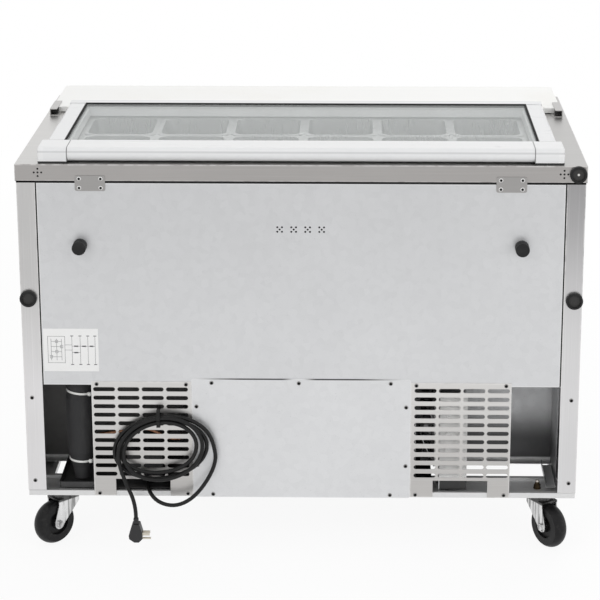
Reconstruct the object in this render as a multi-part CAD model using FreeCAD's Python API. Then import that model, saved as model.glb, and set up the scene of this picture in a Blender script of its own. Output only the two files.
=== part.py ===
import FreeCAD, Part
import math
import os

V = FreeCAD.Vector
X_AXIS = V(1, 0, 0)
Y_AXIS = V(0, 1, 0)
Z_AXIS = V(0, 0, 1)

# Refrigerated prep table, millimetres. The doors face -Y, the machine side faces +Y, the floor is z 0.
# Left and right are those of a cook standing at the doors, so right is +X.

# Overall sizes
deck_width = 1220.0
deck_depth = 700.0
deck_top = 889.0
deck_skirt = 37.0
body_inset = 3.0
body_bottom = 130.0
rear = 360.0
spacer_length = 28.0
front = rear - deck_depth
half_deck = deck_width / 2
half_body = half_deck - body_inset
deck_bottom = deck_top - deck_skirt
deck_gap = 4.0
body_gap = 1.0
body_top = deck_bottom - body_gap
deck_corner = 4.0
deck_edge = 2.0

# Sheets and walls
skin = 1.0
deck_sheet = 1.2
liner_sheet = 0.8
rail_sheet = 1.5
wall = 45.0
rail_height = 12.0
rail_depth = 97.0
side_rail_width = 44.0
rail_lip = 10.0
floor_top = body_bottom + rail_height
touch = 0.2
running_gap = 0.05

# Machine compartment at the rear bottom
bay_wall_foot = 22.0
bay_wall_lip = 14.0
bay_wall_front = 40.0
bay_wall_rear = 30.0
floor_sheet_reach = 30.0
bay_depth = 200.0
bay_height = 249.0
bay_top = floor_top + bay_height
bay_front = rear - bay_depth
flange_width = 40.0
flange_seam = 3.0
half_back = half_body - flange_width - flange_seam

# Doors
door_thickness = 50.0
gasket_thickness = 8.0
door_gap = 4.0
door_side_gap = 2.0
fascia_height = 45.0
fascia_bottom = body_top - fascia_height
door_bottom = 163.0
door_head_gap = 6.0
door_top = fascia_bottom - door_head_gap
door_back = front + door_thickness
door_fold = 30.0
door_edge = 3.0
gasket_rest = 0.3
frame_face = door_back + gasket_thickness + gasket_rest
frame_bar = 50.0
frame_cover = 2.0
post_width = 76.0
post_depth = 40.0
gasket_width = 20.0
gasket_inset = 18.0
hinge_inset = 17.0
hinge_setback = 20.0
pin_radius = 5.0
pin_length = 16.0
bracket_sheet = 4.0
bracket_gap = 0.3
bracket_inset = 6.0
bracket_width = 44.0
bracket_reach = 11.0
ear_sheet = 3.0
ear_height = 18.0
fascia_setback = 2.0
fascia_return = 30.0
fascia_end_gap = 1.0

# Pan well
pan_columns = 6
pan_rows = 2
well_side = 120.0
half_well_x = half_deck - well_side
rim_seat = 6.0
rim_gap = 4.0
pan_pitch_x = (2 * (half_well_x + rim_seat) + rim_gap) / pan_columns
pan_pitch_y = 180.0
pan_rim_x = pan_pitch_x - rim_gap
pan_rim_y = pan_pitch_y - rim_gap
pan_depth = 100.0
pan_taper = 7.0
pan_lip = 7.0
pan_sheet = 0.8
pan_corner = 24.0
rim_sheet = 1.6
well_setback = 267.0
well_center = rear - well_setback
well_corner = 8.0
bar_width = 12.0
bar_height = 9.0
bar_sheet = 2.0
half_well_y = (pan_rows * pan_pitch_y - rim_gap) / 2 - rim_seat
throat = 24.0

# Lid with glass
lid_side_cover = 60.0
lid_half = half_well_x + lid_side_cover
lid_front_reach = 494.0
lid_rear_inset = 10.0
lid_bottom = deck_top + 4.0
lid_height = 29.5
side_rail_lid = 48.0
front_rail_lid = 45.0
rear_rail_lid = 75.0
pivot_radius = 16.5
end_block = 63.0
block_overhang = 11.0
end_block_outer = lid_half + block_overhang
block_round = 14.0
block_edge = 3.0
block_gap = 0.5
rail_end_gap = 2.2
rebate_width = 10.0
rebate_drop = 8.0
glass_thickness = 5.0
glass_bed = 0.6
glass_gasket = 4.0
glass_tuck = 9.0
lid_pin_radius = 4.0
lid_pin_length = 20.0
seal_width = 12.0
seal_clearance = 0.3
seal_inset = 18.0
seal_side_inset = 10.0
lid_edge = 5.0
finger_rise = 10.0
finger_depth = 16.0
lid_top = lid_bottom + lid_height
pivot_y = rear - lid_rear_inset - pivot_radius
pivot_z = lid_bottom + lid_height / 2

# Cutting board and its clips
board_reach = 748.0
board_rear_reach = 507.0
board_inset = 12.0
board_half = half_deck - board_inset
board_corner = 8.0
board_edge = 1.5
board_thickness = 12.0
clip_sheet = 1.5
clip_length = 90.0
clip_behind = 35.0
clip_cover = 17.0
clip_gap = 0.5
clip_foot = 6.0
pad_inset = 10.0
stop_size = 14.0
pad_size = 24.0

# Rear panels
bay_opening = 104.0
grille_width = 220.0
grille_outer = half_back - bay_opening
panel_half = grille_outer - grille_width
panel_bottom = body_bottom - 1.0
panel_top = bay_top + 17.0
grille_bottom = body_bottom + 1.0
grille_top = bay_top + 9.0
grille_columns = 4
grille_rows = 11
slot_length = 48.0
slot_height = 9.5
slot_pitch_x = 53.3
slot_pitch_z = 19.9
slot_first_x = grille_outer - 28.0
slot_first_z = bay_top - 9.0
notch_center = grille_outer - 109.0
notch_width = 121.0
notch_top = floor_top + 29.0
vent_rows = 10
vent_pitch = 11.0
vent_length = 90.0
vent_height = 5.0
vent_bottom = floor_top + 73.0
foam_hole = 2.2
foam_group_x = (-45.0, -15.0, 15.0, 45.0)
foam_group_z = deck_bottom - 105.0
foam_spread = 5.0
strip_group_x = half_deck - 50.0
strip_group_z = deck_top - 18.0
strip_spread = 8.0
fixing_x = half_back - 115.0
fixing_half = 32.5
fixing_bottom = deck_bottom - 21.0
fixing_top = deck_bottom + 13.0
fixing_sheet = 1.5
fixing_screw_x = 23.0
fixing_screw_z = 10.0
spacer_x = half_back - 90.0
spacer_z = deck_bottom - 142.0
spacer_radius = 15.0
bumper_x = half_body - 17.0
bumper_z = deck_bottom - 262.0
bumper_radius = 18.5
bumper_height = 9.0
bumper_rim = 5.0
bumper_floor = 4.0
rubber_edge = 1.5
panel_corner = 5.0
fixing_corner = 4.0
screw_head = 4.6
screw_height = 2.2
center_screw_x = 5.0
panel_screw_edge = 10.0
panel_screw_low = 7.0
panel_screw_corner = 44.0
panel_screw_drop = 65.0
panel_screw_rise = 76.0
grille_screw_x = 12.0
grille_screw_z = 6.0
flange_screw_x = 16.0
flange_screw_drop = 30.0
flange_screw_rise = 24.0

# Casters
wheel_radius = 50.0
wheel_width = 32.0
hub_width = 36.0
hub_radius = 31.0
trail = 30.0
swivel_x = half_body - 69.0
swivel_inset_rear = 62.0
swivel_inset_front = 62.0
plate_length = 95.0
plate_width = 70.0
plate_sheet = 3.0
crown_bottom = 103.0
fork_sheet = 3.0
leg_gap = 0.6
crown_back = 26.0
crown_front = 30.0
leg_shoulder = 10.0
toe_radius = 12.0
nut_radius = 8.5
nut_height = 5.0
axle_end = 6.0
bolt_x = 37.0
bolt_y = 25.0
bolt_radius = 5.5
bolt_height = 4.0
plate_corner = 6.0
race_drop = 13.0
race_edge = 4.0
axle_radius = 5.0
race_radius = 26.0
king_radius = 6.0
race_gap = 0.3
rear_turn_right = 45.0
rear_turn_left = 123.0
front_turn = 90.0

# Power cord
cord_radius = 4.4
coil_turns = 3.5
coil_half_x = 114.0
coil_front_x = 100.0
coil_half_z = 80.0
coil_pitch = 10.0
coil_spread = 6.0
coil_layer = 11.0
coil_tilt = 9.0
coil_lean = 8.0
coil_center = V(notch_center - 45, rear + 15, floor_top + 105)
gland_exit = V(notch_center - 7, rear - 42, floor_top + 11)


def box(x0, x1, y0, y1, z0, z1):
    return Part.makeBox(x1 - x0, y1 - y0, z1 - z0, V(x0, y0, z0))


def rod(radius, start, end):
    return Part.makeCylinder(radius, (end - start).Length, start, end - start)


def prism(points, along):
    return Part.Face(Part.makePolygon(points + [points[0]])).extrude(along)


def mirrored(shape):
    return shape.mirror(V(0, 0, 0), X_AXIS)


def both_sides(shape):
    return [shape, mirrored(shape)]


def fold(path, thickness):
    """Closed outline of a sheet bent along a list of 2D points, thickened to the left."""
    normals = []
    for a, b in zip(path, path[1:]):
        length = math.hypot(b[0] - a[0], b[1] - a[1])
        normals.append((-(b[1] - a[1]) / length, (b[0] - a[0]) / length))
    inner = []
    for i, point in enumerate(path):
        n0 = normals[max(i - 1, 0)]
        n1 = normals[min(i, len(normals) - 1)]
        scale = thickness / (1 + n0[0] * n1[0] + n0[1] * n1[1])
        inner.append((point[0] + (n0[0] + n1[0]) * scale, point[1] + (n0[1] + n1[1]) * scale))
    return path + inner[::-1]


def sheet_along_x(path, thickness, x0, x1):
    points = [V(x0, y, z) for y, z in fold(path, thickness)]
    return prism(points, V(x1 - x0, 0, 0))


def sheet_along_y(path, thickness, y0, y1):
    points = [V(x, y0, z) for x, z in fold(path, thickness)]
    return prism(points, V(0, y1 - y0, 0))


def sheet_along_z(path, thickness, z0, z1):
    points = [V(x, y, z0) for x, y in fold(path, thickness)]
    return prism(points, V(0, 0, z1 - z0))


def rounded_wire(half_x, half_y, corner, center):
    x, y, z = center
    c = corner * (1 - math.sqrt(0.5))
    left, right, low, high = x - half_x, x + half_x, y - half_y, y + half_y
    line = lambda a, b: Part.LineSegment(V(*a, z), V(*b, z)).toShape()
    arc = lambda a, m, b: Part.Arc(V(*a, z), V(*m, z), V(*b, z)).toShape()
    return Part.Wire([
        line((left + corner, low), (right - corner, low)),
        arc((right - corner, low), (right - c, low + c), (right, low + corner)),
        line((right, low + corner), (right, high - corner)),
        arc((right, high - corner), (right - c, high - c), (right - corner, high)),
        line((right - corner, high), (left + corner, high)),
        arc((left + corner, high), (left + c, high - c), (left, high - corner)),
        line((left, high - corner), (left, low + corner)),
        arc((left, low + corner), (left + c, low + c), (left + corner, low)),
    ])


def rounded_plate(half_x, half_y, corner, center, height):
    return Part.Face(rounded_wire(half_x, half_y, corner, center)).extrude(V(0, 0, height))


def slot_through_y(x, z, length, height, y0, y1):
    """Obround cutter lying along X, with its ends rounded by half the height."""
    r = height / 2
    a = length / 2 - r
    wire = Part.Wire([
        Part.LineSegment(V(x - a, y0, z - r), V(x + a, y0, z - r)).toShape(),
        Part.Arc(V(x + a, y0, z - r), V(x + a + r, y0, z), V(x + a, y0, z + r)).toShape(),
        Part.LineSegment(V(x + a, y0, z + r), V(x - a, y0, z + r)).toShape(),
        Part.Arc(V(x - a, y0, z + r), V(x - a - r, y0, z), V(x - a, y0, z - r)).toShape(),
    ])
    return Part.Face(wire).extrude(V(0, y1 - y0, 0))


def revolved(profile, start, axis):
    """Solid turned from (radius, height) pairs about an axis through start."""
    points = [V(r, 0, h) for r, h in profile]
    face = Part.Face(Part.makePolygon(points + [points[0]]))
    solid = face.revolve(V(0, 0, 0), Z_AXIS, 360)
    turn = FreeCAD.Rotation(Z_AXIS, axis)
    solid.Placement = FreeCAD.Placement(start, turn).multiply(solid.Placement)
    return solid


def save(name, solids):
    shapes = solids if isinstance(solids, list) else [solids]
    single = []
    for shape in shapes:
        single.extend(shape.Solids)
    shape = single[0] if len(single) == 1 else Part.makeCompound(single)
    if not shape.isValid():
        print("not valid:", name)
    shape.exportStep("parts/" + name + ".step")


# Tubes along straight runs joined by tangent arcs

def rounded_route(points):
    edges = []
    radii = []
    start = points[0]
    for before, corner, after in zip(points, points[1:], points[2:]):
        into = (corner - before).normalize()
        out = (after - corner).normalize()
        turn = into.getAngle(out)
        shorter = min((corner - before).Length, (after - corner).Length)
        cut = 0.45 * shorter
        radius = cut / math.tan(turn / 2)
        first = corner - into * cut
        last = corner + out * cut
        middle_way = (out - into).normalize()
        center = corner + middle_way * (radius / math.cos(turn / 2))
        edges.append(Part.LineSegment(start, first).toShape())
        edges.append(Part.Arc(first, center - middle_way * radius, last).toShape())
        radii.append(radius)
        start = last
    edges.append(Part.LineSegment(start, points[-1]).toShape())
    return Part.Wire(edges), radii


def tube(name, wire, radius, start, heading):
    ring = Part.Wire(Part.makeCircle(radius, start, heading))
    solid = wire.makePipeShell([ring], True, False)
    expected = math.pi * radius ** 2 * wire.Length
    print(name, "length", round(wire.Length), "volume ratio", round(solid.Volume / expected, 4))
    return solid


def route_tube(name, points, radius):
    wire, radii = rounded_route(points)
    print(name, "bend radii", [round(r) for r in radii])
    return tube(name, wire, radius, points[0], points[1] - points[0])


# Cabinet shell

def side_panel():
    """Right side skin with rear and front returns and cooling slots beside the machine bay."""
    path = [
        (half_body - flange_width, rear),
        (half_body, rear),
        (half_body, frame_face + skin),
        (half_body - flange_width / 2, frame_face + skin),
    ]
    panel = sheet_along_z(path[::-1], skin, floor_top + skin, body_top)
    middle = rear - bay_depth / 2
    for row in range(vent_rows):
        z = vent_bottom + row * vent_pitch
        panel = panel.cut(box(half_body - 2 * skin, half_body + skin, middle - vent_length / 2,
                              middle + vent_length / 2, z, z + vent_height))
    return panel


def back_panel():
    top = deck_bottom - deck_gap
    panel = box(-half_back, half_back, rear - skin, rear, bay_top + skin, top)
    for x in foam_group_x:
        for dx, dz in ((0, 0), (1, 1), (1, -1), (-1, 1), (-1, -1)):
            start = V(x + dx * foam_spread, rear - 2 * skin, foam_group_z + dz * foam_spread)
            panel = panel.cut(rod(foam_hole, start, start + Y_AXIS * 3 * skin))
    return panel


def insulation():
    """Foam slabs between the skins and the liner, with the step over the machine bay."""
    outer = half_body - skin
    inner = outer - wall
    sheet_top = floor_top + skin
    rear_inner = rear - skin
    step_top = bay_top + skin + wall
    slabs = []
    for front_wall in both_sides(box(inner, outer, frame_face + 2 * skin, bay_front, sheet_top, body_top)):
        slabs.append(front_wall)
    for rear_wall in both_sides(box(inner, outer, bay_front, rear_inner, bay_top + skin, body_top)):
        slabs.append(rear_wall)
    slabs.append(box(-inner, inner, rear_inner - wall, rear_inner, bay_top + skin, body_top))
    slabs.append(box(-inner, inner, bay_front, rear_inner - wall, bay_top + skin, step_top))
    slabs.append(box(-inner, inner, bay_front - wall, bay_front, sheet_top, step_top))
    slabs.append(box(-inner, inner, frame_face + skin, bay_front - wall, sheet_top, sheet_top + wall))
    under = deck_top - deck_sheet
    deck_in = deck_sheet + touch
    well_x = half_well_x + deck_sheet
    well_y = half_well_y + deck_sheet
    slabs.append(box(-half_deck + deck_in, half_deck - deck_in, front + deck_in, well_center - well_y,
                     deck_bottom, under))
    slabs.append(box(-half_deck + deck_in, half_deck - deck_in, well_center + well_y, rear - deck_in,
                     deck_bottom, under))
    for side in both_sides(box(well_x, half_deck - deck_in, well_center - well_y,
                               well_center + well_y, deck_bottom, under)):
        slabs.append(side)
    return slabs


def liner():
    """Folded floor, step and back sheet, and the two side sheets."""
    inner = half_body - skin - wall
    floor = floor_top + skin + wall
    step_top = bay_top + skin + wall
    step_front = bay_front - wall
    back = rear - skin - wall
    bend = [
        (frame_face + skin, floor),
        (step_front, floor),
        (step_front, step_top),
        (back, step_top),
        (back, body_top),
    ]
    sheets = [sheet_along_x(bend, liner_sheet, -inner + liner_sheet, inner - liner_sheet)]
    outline = [V(inner, y, z) for y, z in bend] + [V(inner, frame_face + skin, body_top)]
    side = prism(outline, V(-liner_sheet, 0, 0))
    return sheets + both_sides(side)


def top_deck():
    deck = box(-half_deck, half_deck, front, rear, deck_bottom, deck_top)
    corners = [e for e in deck.Edges if abs(e.Vertexes[0].Z - e.Vertexes[-1].Z) > 1]
    deck = deck.makeFillet(deck_corner, corners)
    rim = [e for e in deck.Edges if all(abs(v.Z - deck_top) < 0.01 for v in e.Vertexes)]
    deck = deck.makeFillet(deck_edge, rim)
    t = deck_sheet
    deck = deck.cut(box(-half_deck + t, half_deck - t, front + t, rear - t, deck_bottom - 1, deck_top - t))
    x, y = half_well_x, half_well_y
    edge = well_corner
    hole = rounded_plate(x, y, edge, (0, well_center, deck_top - throat - 1), throat + 5)
    collar = rounded_plate(x + t, y + t, edge + t, (0, well_center, deck_top - throat), throat - t / 2)
    deck = deck.fuse(collar).cut(hole)
    for side in (-1, 1):
        for dx, dz in ((0, 0), (1, 0), (-1, 0), (0, 1), (0, -1)):
            start = V(side * strip_group_x + dx * strip_spread, rear - 2 * t, strip_group_z + dz * strip_spread)
            deck = deck.cut(rod(foam_hole, start, start + Y_AXIS * 4 * t))
    return deck.removeSplitter()


def base_frame():
    """Open channel rails under the body, with the sheet that carries the foam."""
    z0, z1 = body_bottom, floor_top
    half = half_body - skin
    solids = []
    lip = rail_lip
    for start in (rear - skin - rail_depth, frame_face):
        end = start + rail_depth
        path = [(start + lip, z1), (start, z1), (start, z0), (end, z0), (end, z1), (end - lip, z1)]
        solids.append(sheet_along_x(path, rail_sheet, -half, half))
    y0 = frame_face + rail_depth
    y1 = rear - skin - rail_depth
    a, b = half - side_rail_width, half
    path = [(a + lip, z1), (a, z1), (a, z0), (b, z0), (b, z1), (b - lip, z1)]
    solids += both_sides(sheet_along_y(path, rail_sheet, y0, y1))
    solids.append(box(-half, half, frame_face, bay_front + floor_sheet_reach, z1, z1 + skin))
    return solids


def bay_lining():
    """Galvanised roof and front sheet of the machine bay, with the inner wall on the left."""
    z0 = floor_top + skin
    half = half_body - skin
    roof = box(-half, half, bay_front, rear - skin, bay_top, bay_top + skin)
    front_sheet = box(-half, half, bay_front, bay_front + skin, z0, bay_top)
    x = -half + flange_width
    foot = x + bay_wall_foot
    bend = [(foot, z0 + bay_wall_lip), (foot, z0), (x, z0), (x, bay_top)]
    wall_sheet = sheet_along_y(bend, -skin, bay_front + bay_wall_front, rear - bay_wall_rear)
    return [roof, front_sheet, wall_sheet]


def front_frame():
    """Face frame behind the doors: stiles, rails and the middle post."""
    half = half_body
    y0, y1 = frame_face, frame_face + skin
    bottom = floor_top + skin
    top = body_top
    low = door_bottom + gasket_inset + gasket_width + frame_cover
    high = door_top - gasket_inset - gasket_width - frame_cover
    solids = both_sides(box(half - frame_bar, half, y0, y1, low, high))
    solids.append(box(-half, half, y0, y1, bottom, low))
    solids.append(box(-half, half, y0, y1, high, top))
    post = post_width / 2
    path = [(-post, y1 + post_depth), (-post, y0), (post, y0), (post, y1 + post_depth)]
    solids.append(sheet_along_z(path, skin, low, high))
    return solids


def control_fascia():
    """Folded strip over the doors with closed ends, cut out for the controller."""
    y = front + fascia_setback
    half = half_body - fascia_end_gap
    path = [(frame_face, fascia_bottom), (y, fascia_bottom), (y, body_top), (y + fascia_return, body_top)]
    strip = sheet_along_x(path, -skin, -half, half)
    for end in both_sides(box(half - skin, half, y, frame_face, fascia_bottom, body_top)):
        strip = strip.fuse(end)
    z = (fascia_bottom + body_top) / 2
    hole = box(-control_half - touch, control_half + touch, y - skin, y + 3 * skin,
               z - control_high - touch, z + control_high + touch)
    return strip.cut(hole).removeSplitter()


# Controller with its buttons

control_half = 35.0
control_high = 13.5
control_depth = 44.0
bezel = 2.5
bezel_margin = 3.0
button_radius = 3.2
button_length = 5.0
button_stand = 1.2
button_travel = 1.0
button_gap = 0.3
button_edge = 0.6
button_places = (14.0, 22.0, 30.0)
bezel_corner = 3.0
window_margin = 4.0
window_high = 8.0
window_sink = 0.8


def controller():
    y = front + fascia_setback
    z = (fascia_bottom + body_top) / 2
    case = box(-control_half, control_half, y, y + control_depth, z - control_high, z + control_high)
    face = box(-control_half - bezel_margin, control_half + bezel_margin, y - bezel, y,
               z - control_high - bezel_margin, z + control_high + bezel_margin)
    upright = [e for e in face.Edges if abs(e.Vertexes[0].Y - e.Vertexes[-1].Y) > 1]
    face = face.makeFillet(bezel_corner, upright)
    case = case.fuse(face)
    window = box(-control_half + window_margin, window_margin, y - bezel - 1, y - bezel + window_sink,
                 z - window_high, z + window_high)
    case = case.cut(window)
    for x in button_places:
        start = V(x, y - bezel - 1, z)
        bore = rod(button_radius + button_gap, start, start + Y_AXIS * (button_length + button_travel + 1))
        case = case.cut(bore)
    return case.removeSplitter()


def button(x):
    y = front + fascia_setback - bezel - button_stand
    z = (fascia_bottom + body_top) / 2
    profile = [(0, 0), (button_radius - button_edge, 0), (button_radius, button_edge),
               (button_radius, button_length), (0, button_length)]
    return revolved(profile, V(x, y, z), Y_AXIS)


# Rear fittings

def rear_center_panel():
    panel = box(-panel_half, panel_half, rear, rear + skin, panel_bottom, panel_top)
    corners = [e for e in panel.Edges if abs(e.Vertexes[0].Y - e.Vertexes[-1].Y) > 0.5]
    return panel.makeFillet(panel_corner, corners)


def rear_grille():
    """Right grille with its field of obround slots and the open notch at the bottom."""
    plate = box(panel_half + touch, grille_outer, rear, rear + skin, grille_bottom, grille_top)
    cutters = []
    for column in range(grille_columns):
        x = slot_first_x - column * slot_pitch_x
        for row in range(grille_rows):
            z = slot_first_z - row * slot_pitch_z
            cutters.append(slot_through_y(x, z, slot_length, slot_height, rear - skin, rear + 2 * skin))
    notch = box(notch_center - notch_width / 2, notch_center + notch_width / 2,
                rear - skin, rear + 2 * skin, grille_bottom - 5, notch_top)
    return plate.cut(Part.makeCompound(cutters)).cut(notch)


def fixing_plates():
    plates = []
    for x in (-fixing_x, fixing_x):
        plate = box(x - fixing_half, x + fixing_half, rear, rear + fixing_sheet, fixing_bottom, fixing_top)
        corners = [e for e in plate.Edges if abs(e.Vertexes[0].Y - e.Vertexes[-1].Y) > 0.5]
        plates.append(plate.makeFillet(fixing_corner, corners))
    return plates


def pan_head(x, z, y):
    profile = [(0, 0), (screw_head, 0), (screw_head, 0.8), (screw_head * 0.7, 1.8),
               (screw_head * 0.3, screw_height), (0, screw_height)]
    return revolved(profile, V(x, y, z), Y_AXIS)


def panel_screws():
    heads = []
    lower = rear + skin
    fixing_middle = (fixing_bottom + fixing_top) / 2
    for x in (-fixing_x, fixing_x):
        for dx in (-fixing_screw_x, fixing_screw_x):
            for dz in (-fixing_screw_z, fixing_screw_z):
                heads.append(pan_head(x + dx, fixing_middle + dz, rear + fixing_sheet))
    heads.append(pan_head(center_screw_x, panel_top - panel_screw_edge, lower))
    for side in (-1, 1):
        for z in (panel_top - panel_screw_edge, panel_bottom + panel_screw_low):
            heads.append(pan_head(side * (panel_half - panel_screw_corner), z, lower))
        for z in (panel_top - panel_screw_drop, panel_bottom + panel_screw_rise):
            heads.append(pan_head(side * (panel_half - panel_screw_edge), z, lower))
        for x in (panel_half + grille_screw_x, grille_outer - grille_screw_x):
            for z in (grille_top - grille_screw_z, grille_bottom + grille_screw_z):
                heads.append(pan_head(side * x, z, lower))
        for z in (bay_top - flange_screw_drop, floor_top + flange_screw_rise):
            heads.append(pan_head(side * (half_body - flange_screw_x), z, rear))
    return heads


def rear_bumpers():
    """Round rubber pads with a raised rim, the wall spacers, and the rubbers of the cutting board."""
    pads = []
    r = bumper_radius
    top = bumper_height
    inside = r - bumper_rim
    profile = [(0, 0), (r, 0), (r, top - 2), (r - rubber_edge, top), (inside, top), (inside - 1, bumper_floor),
               (0, bumper_floor)]
    for x, z in ((bumper_x, bumper_z), (-bumper_x, bumper_z), (-bumper_x, strip_group_z)):
        pads.append(revolved(profile, V(x, rear, z), Y_AXIS))
    n = spacer_length
    r = spacer_radius
    groove = r - rubber_edge
    ribs = [(0, 0), (r, 0), (r, 10), (groove, 11), (groove, 13), (r, 14), (r, 18), (groove, 19),
            (groove, 21), (r, 22), (r, n - rubber_edge), (groove, n), (0, n)]
    for x in (spacer_x, -spacer_x):
        pads.append(revolved(ribs, V(x, rear, spacer_z), Y_AXIS))
    y = rear - board_rear_reach
    z = deck_top + clip_sheet
    block = box(board_half - stop_size, board_half, y + touch, y + stop_size, z, z + board_thickness)
    pads += both_sides(block)
    y = front + pad_inset
    foot = box(board_half - 2 * pad_size, board_half - pad_size, y, y + pad_size, deck_top, deck_top + clip_sheet)
    pads += both_sides(foot)
    return pads


# Lid

def lid_section(y0):
    """Rear rail outline: round nose about the pivot, with a flat top and bottom up to y0."""
    r = pivot_radius
    half = lid_height / 2
    reach = math.sqrt(r * r - half * half)
    top, low = pivot_z + half, pivot_z - half
    a = V(0, pivot_y + reach, low)
    b = V(0, pivot_y + reach, top)
    edges = [
        Part.Arc(a, V(0, pivot_y + r, pivot_z), b).toShape(),
        Part.LineSegment(b, V(0, y0, top)).toShape(),
        Part.LineSegment(V(0, y0, top), V(0, y0, low)).toShape(),
        Part.LineSegment(V(0, y0, low), a).toShape(),
    ]
    return Part.Face(Part.Wire(edges))


def lid_rear_rail():
    inner = end_block_outer - end_block - block_gap
    y0 = rear - lid_rear_inset - rear_rail_lid
    rail = lid_section(y0)
    rail.translate(V(-inner, 0, 0))
    rail = rail.extrude(V(2 * inner, 0, 0))
    z = lid_top - rebate_drop
    groove = box(-inner - 1, inner + 1, y0 - 1, y0 + glass_tuck + 0.5, z, z + glass_thickness + 2 * glass_bed)
    rail = rail.cut(groove)
    for side in (-1, 1):
        start = V(side * (inner + 1), pivot_y, pivot_z)
        bore = rod(lid_pin_radius + running_gap, start, start - X_AXIS * side * (lid_pin_length + 2))
        rail = rail.cut(bore)
    return rail


def lid_end_blocks():
    """Fixed hinge block at each rear corner, carrying the pin of the lid."""
    inner = end_block_outer - end_block
    y0 = rear - lid_rear_inset - rear_rail_lid
    y1 = rear - lid_rear_inset
    block = box(inner, end_block_outer, y0, y1, deck_top, lid_top)
    back = [e for e in block.Edges if all(abs(v.Y - y1) < 0.01 and abs(v.Z - lid_top) < 0.01
                                          for v in e.Vertexes)]
    block = block.makeFillet(block_round, back)
    outer = [e for e in block.Edges if all(abs(v.X - end_block_outer) < 0.01 for v in e.Vertexes)
             and max(v.Z for v in e.Vertexes) > deck_top + 1]
    block = block.makeFillet(block_edge, outer)
    pin = rod(lid_pin_radius, V(inner + 5, pivot_y, pivot_z), V(inner - lid_pin_length, pivot_y, pivot_z))
    return both_sides(block.fuse(pin).removeSplitter())


def lid_rails():
    """Front rail with its finger lip, and the side rails, rebated for the glass."""
    y_rear = rear - lid_rear_inset - rear_rail_lid - rail_end_gap
    y_front = rear - lid_front_reach
    z0, z1 = lid_bottom, lid_top
    x0 = lid_half - side_rail_lid
    shelf = z1 - rebate_drop
    side_path = [
        (x0, z0), (lid_half - lid_edge, z0), (lid_half, z0 + lid_edge), (lid_half, z1 - lid_edge),
        (lid_half - lid_edge, z1),
        (x0 + rebate_width, z1), (x0 + rebate_width, shelf), (x0, shelf),
    ]
    side = prism([V(x, y_front + front_rail_lid, z) for x, z in side_path],
                 V(0, y_rear - y_front - front_rail_lid, 0))
    y1 = y_front + front_rail_lid
    front_path = [
        (y1, z0), (y_front + finger_depth, z0), (y_front + finger_depth - 4, z0 + finger_rise),
        (y_front, z0 + finger_rise), (y_front, z1 - lid_edge), (y_front + lid_edge, z1),
        (y1 - rebate_width, z1), (y1 - rebate_width, shelf), (y1, shelf),
    ]
    bar = prism([V(-lid_half, y, z) for y, z in front_path], V(2 * lid_half, 0, 0))
    for corner in both_sides(box(lid_half - side_rail_lid, lid_half - side_rail_lid + rebate_width,
                                 y1 - rebate_width, y1 + 1, shelf, z1 + 1)):
        bar = bar.cut(corner)
    return both_sides(side) + [bar]


def glass_box(margin):
    y_front = rear - lid_front_reach + front_rail_lid - rebate_width + glass_gasket - margin
    y_rear = rear - lid_rear_inset - rear_rail_lid + glass_tuck
    half = lid_half - side_rail_lid + rebate_width - glass_gasket + margin
    z = lid_top - rebate_drop + glass_bed
    return half, y_front, y_rear, z


def lid_glass():
    half, y_front, y_rear, z = glass_box(0)
    y_end = rear - lid_rear_inset - rear_rail_lid - rail_end_gap
    pane = box(-half, half, y_front, y_end, z, z + glass_thickness)
    inner = end_block_outer - end_block - 2 * block_gap
    tongue = box(-inner, inner, y_front + 1, y_rear, z, z + glass_thickness)
    return pane.fuse(tongue).removeSplitter()


def lid_gasket():
    """Black glazing strip round three sides of the glass, and the seal under the frame."""
    half, y_front, _, z = glass_box(0)
    outer, y_outer, _, _ = glass_box(glass_gasket - touch)
    y_end = rear - lid_rear_inset - rear_rail_lid - rail_end_gap
    bed = lid_top - rebate_drop
    top = z + glass_thickness + 1.0
    ring = box(-outer, outer, y_outer, y_end, bed, top)
    ring = ring.cut(box(-half, half, y_front, y_end + 1, bed - 1, top + 1))
    z0 = deck_top + seal_clearance
    y0 = rear - lid_front_reach + seal_inset
    y1 = rear - lid_rear_inset - 2 * pivot_radius - 4
    x1 = lid_half - seal_side_inset
    inner_block = end_block_outer - end_block - 2 * block_gap
    seals = [
        box(-x1, x1, y0, y0 + seal_width, z0, lid_bottom),
        box(-inner_block, inner_block, y1 - seal_width, y1, z0, lid_bottom),
    ]
    seals += both_sides(box(x1 - seal_width, x1, y0 + seal_width, y_end, z0, lid_bottom))
    return [ring] + seals


# Pans and bars in the well

def food_pan(x, y):
    """Sixth-size pan: tapered rounded well under a flat rim."""
    z = deck_top
    half_x = pan_rim_x / 2
    half_y = pan_rim_y / 2
    top_x, top_y = half_x - pan_lip, half_y - pan_lip
    low_x, low_y = top_x - pan_taper, top_y - pan_taper
    low = z - pan_depth
    outer = Part.makeLoft([rounded_wire(low_x, low_y, pan_corner, (x, y, low)),
                           rounded_wire(top_x, top_y, pan_corner, (x, y, z + rim_sheet / 2))], True, True)
    t = pan_sheet
    inner = Part.makeLoft([
        rounded_wire(low_x - t, low_y - t, pan_corner - t, (x, y, low + t)),
        rounded_wire(top_x - t, top_y - t, pan_corner - t, (x, y, z + rim_sheet + 1)),
    ], True, True)
    rim = rounded_plate(half_x, half_y, pan_corner * 0.8, (x, y, z), rim_sheet)
    return outer.fuse(rim).cut(inner).removeSplitter()


def food_pans():
    pans = []
    for row in range(pan_rows):
        for column in range(pan_columns):
            x = (column - (pan_columns - 1) / 2) * pan_pitch_x
            y = well_center + (row - (pan_rows - 1) / 2) * pan_pitch_y
            pans.append(food_pan(x, y))
    return pans


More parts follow.
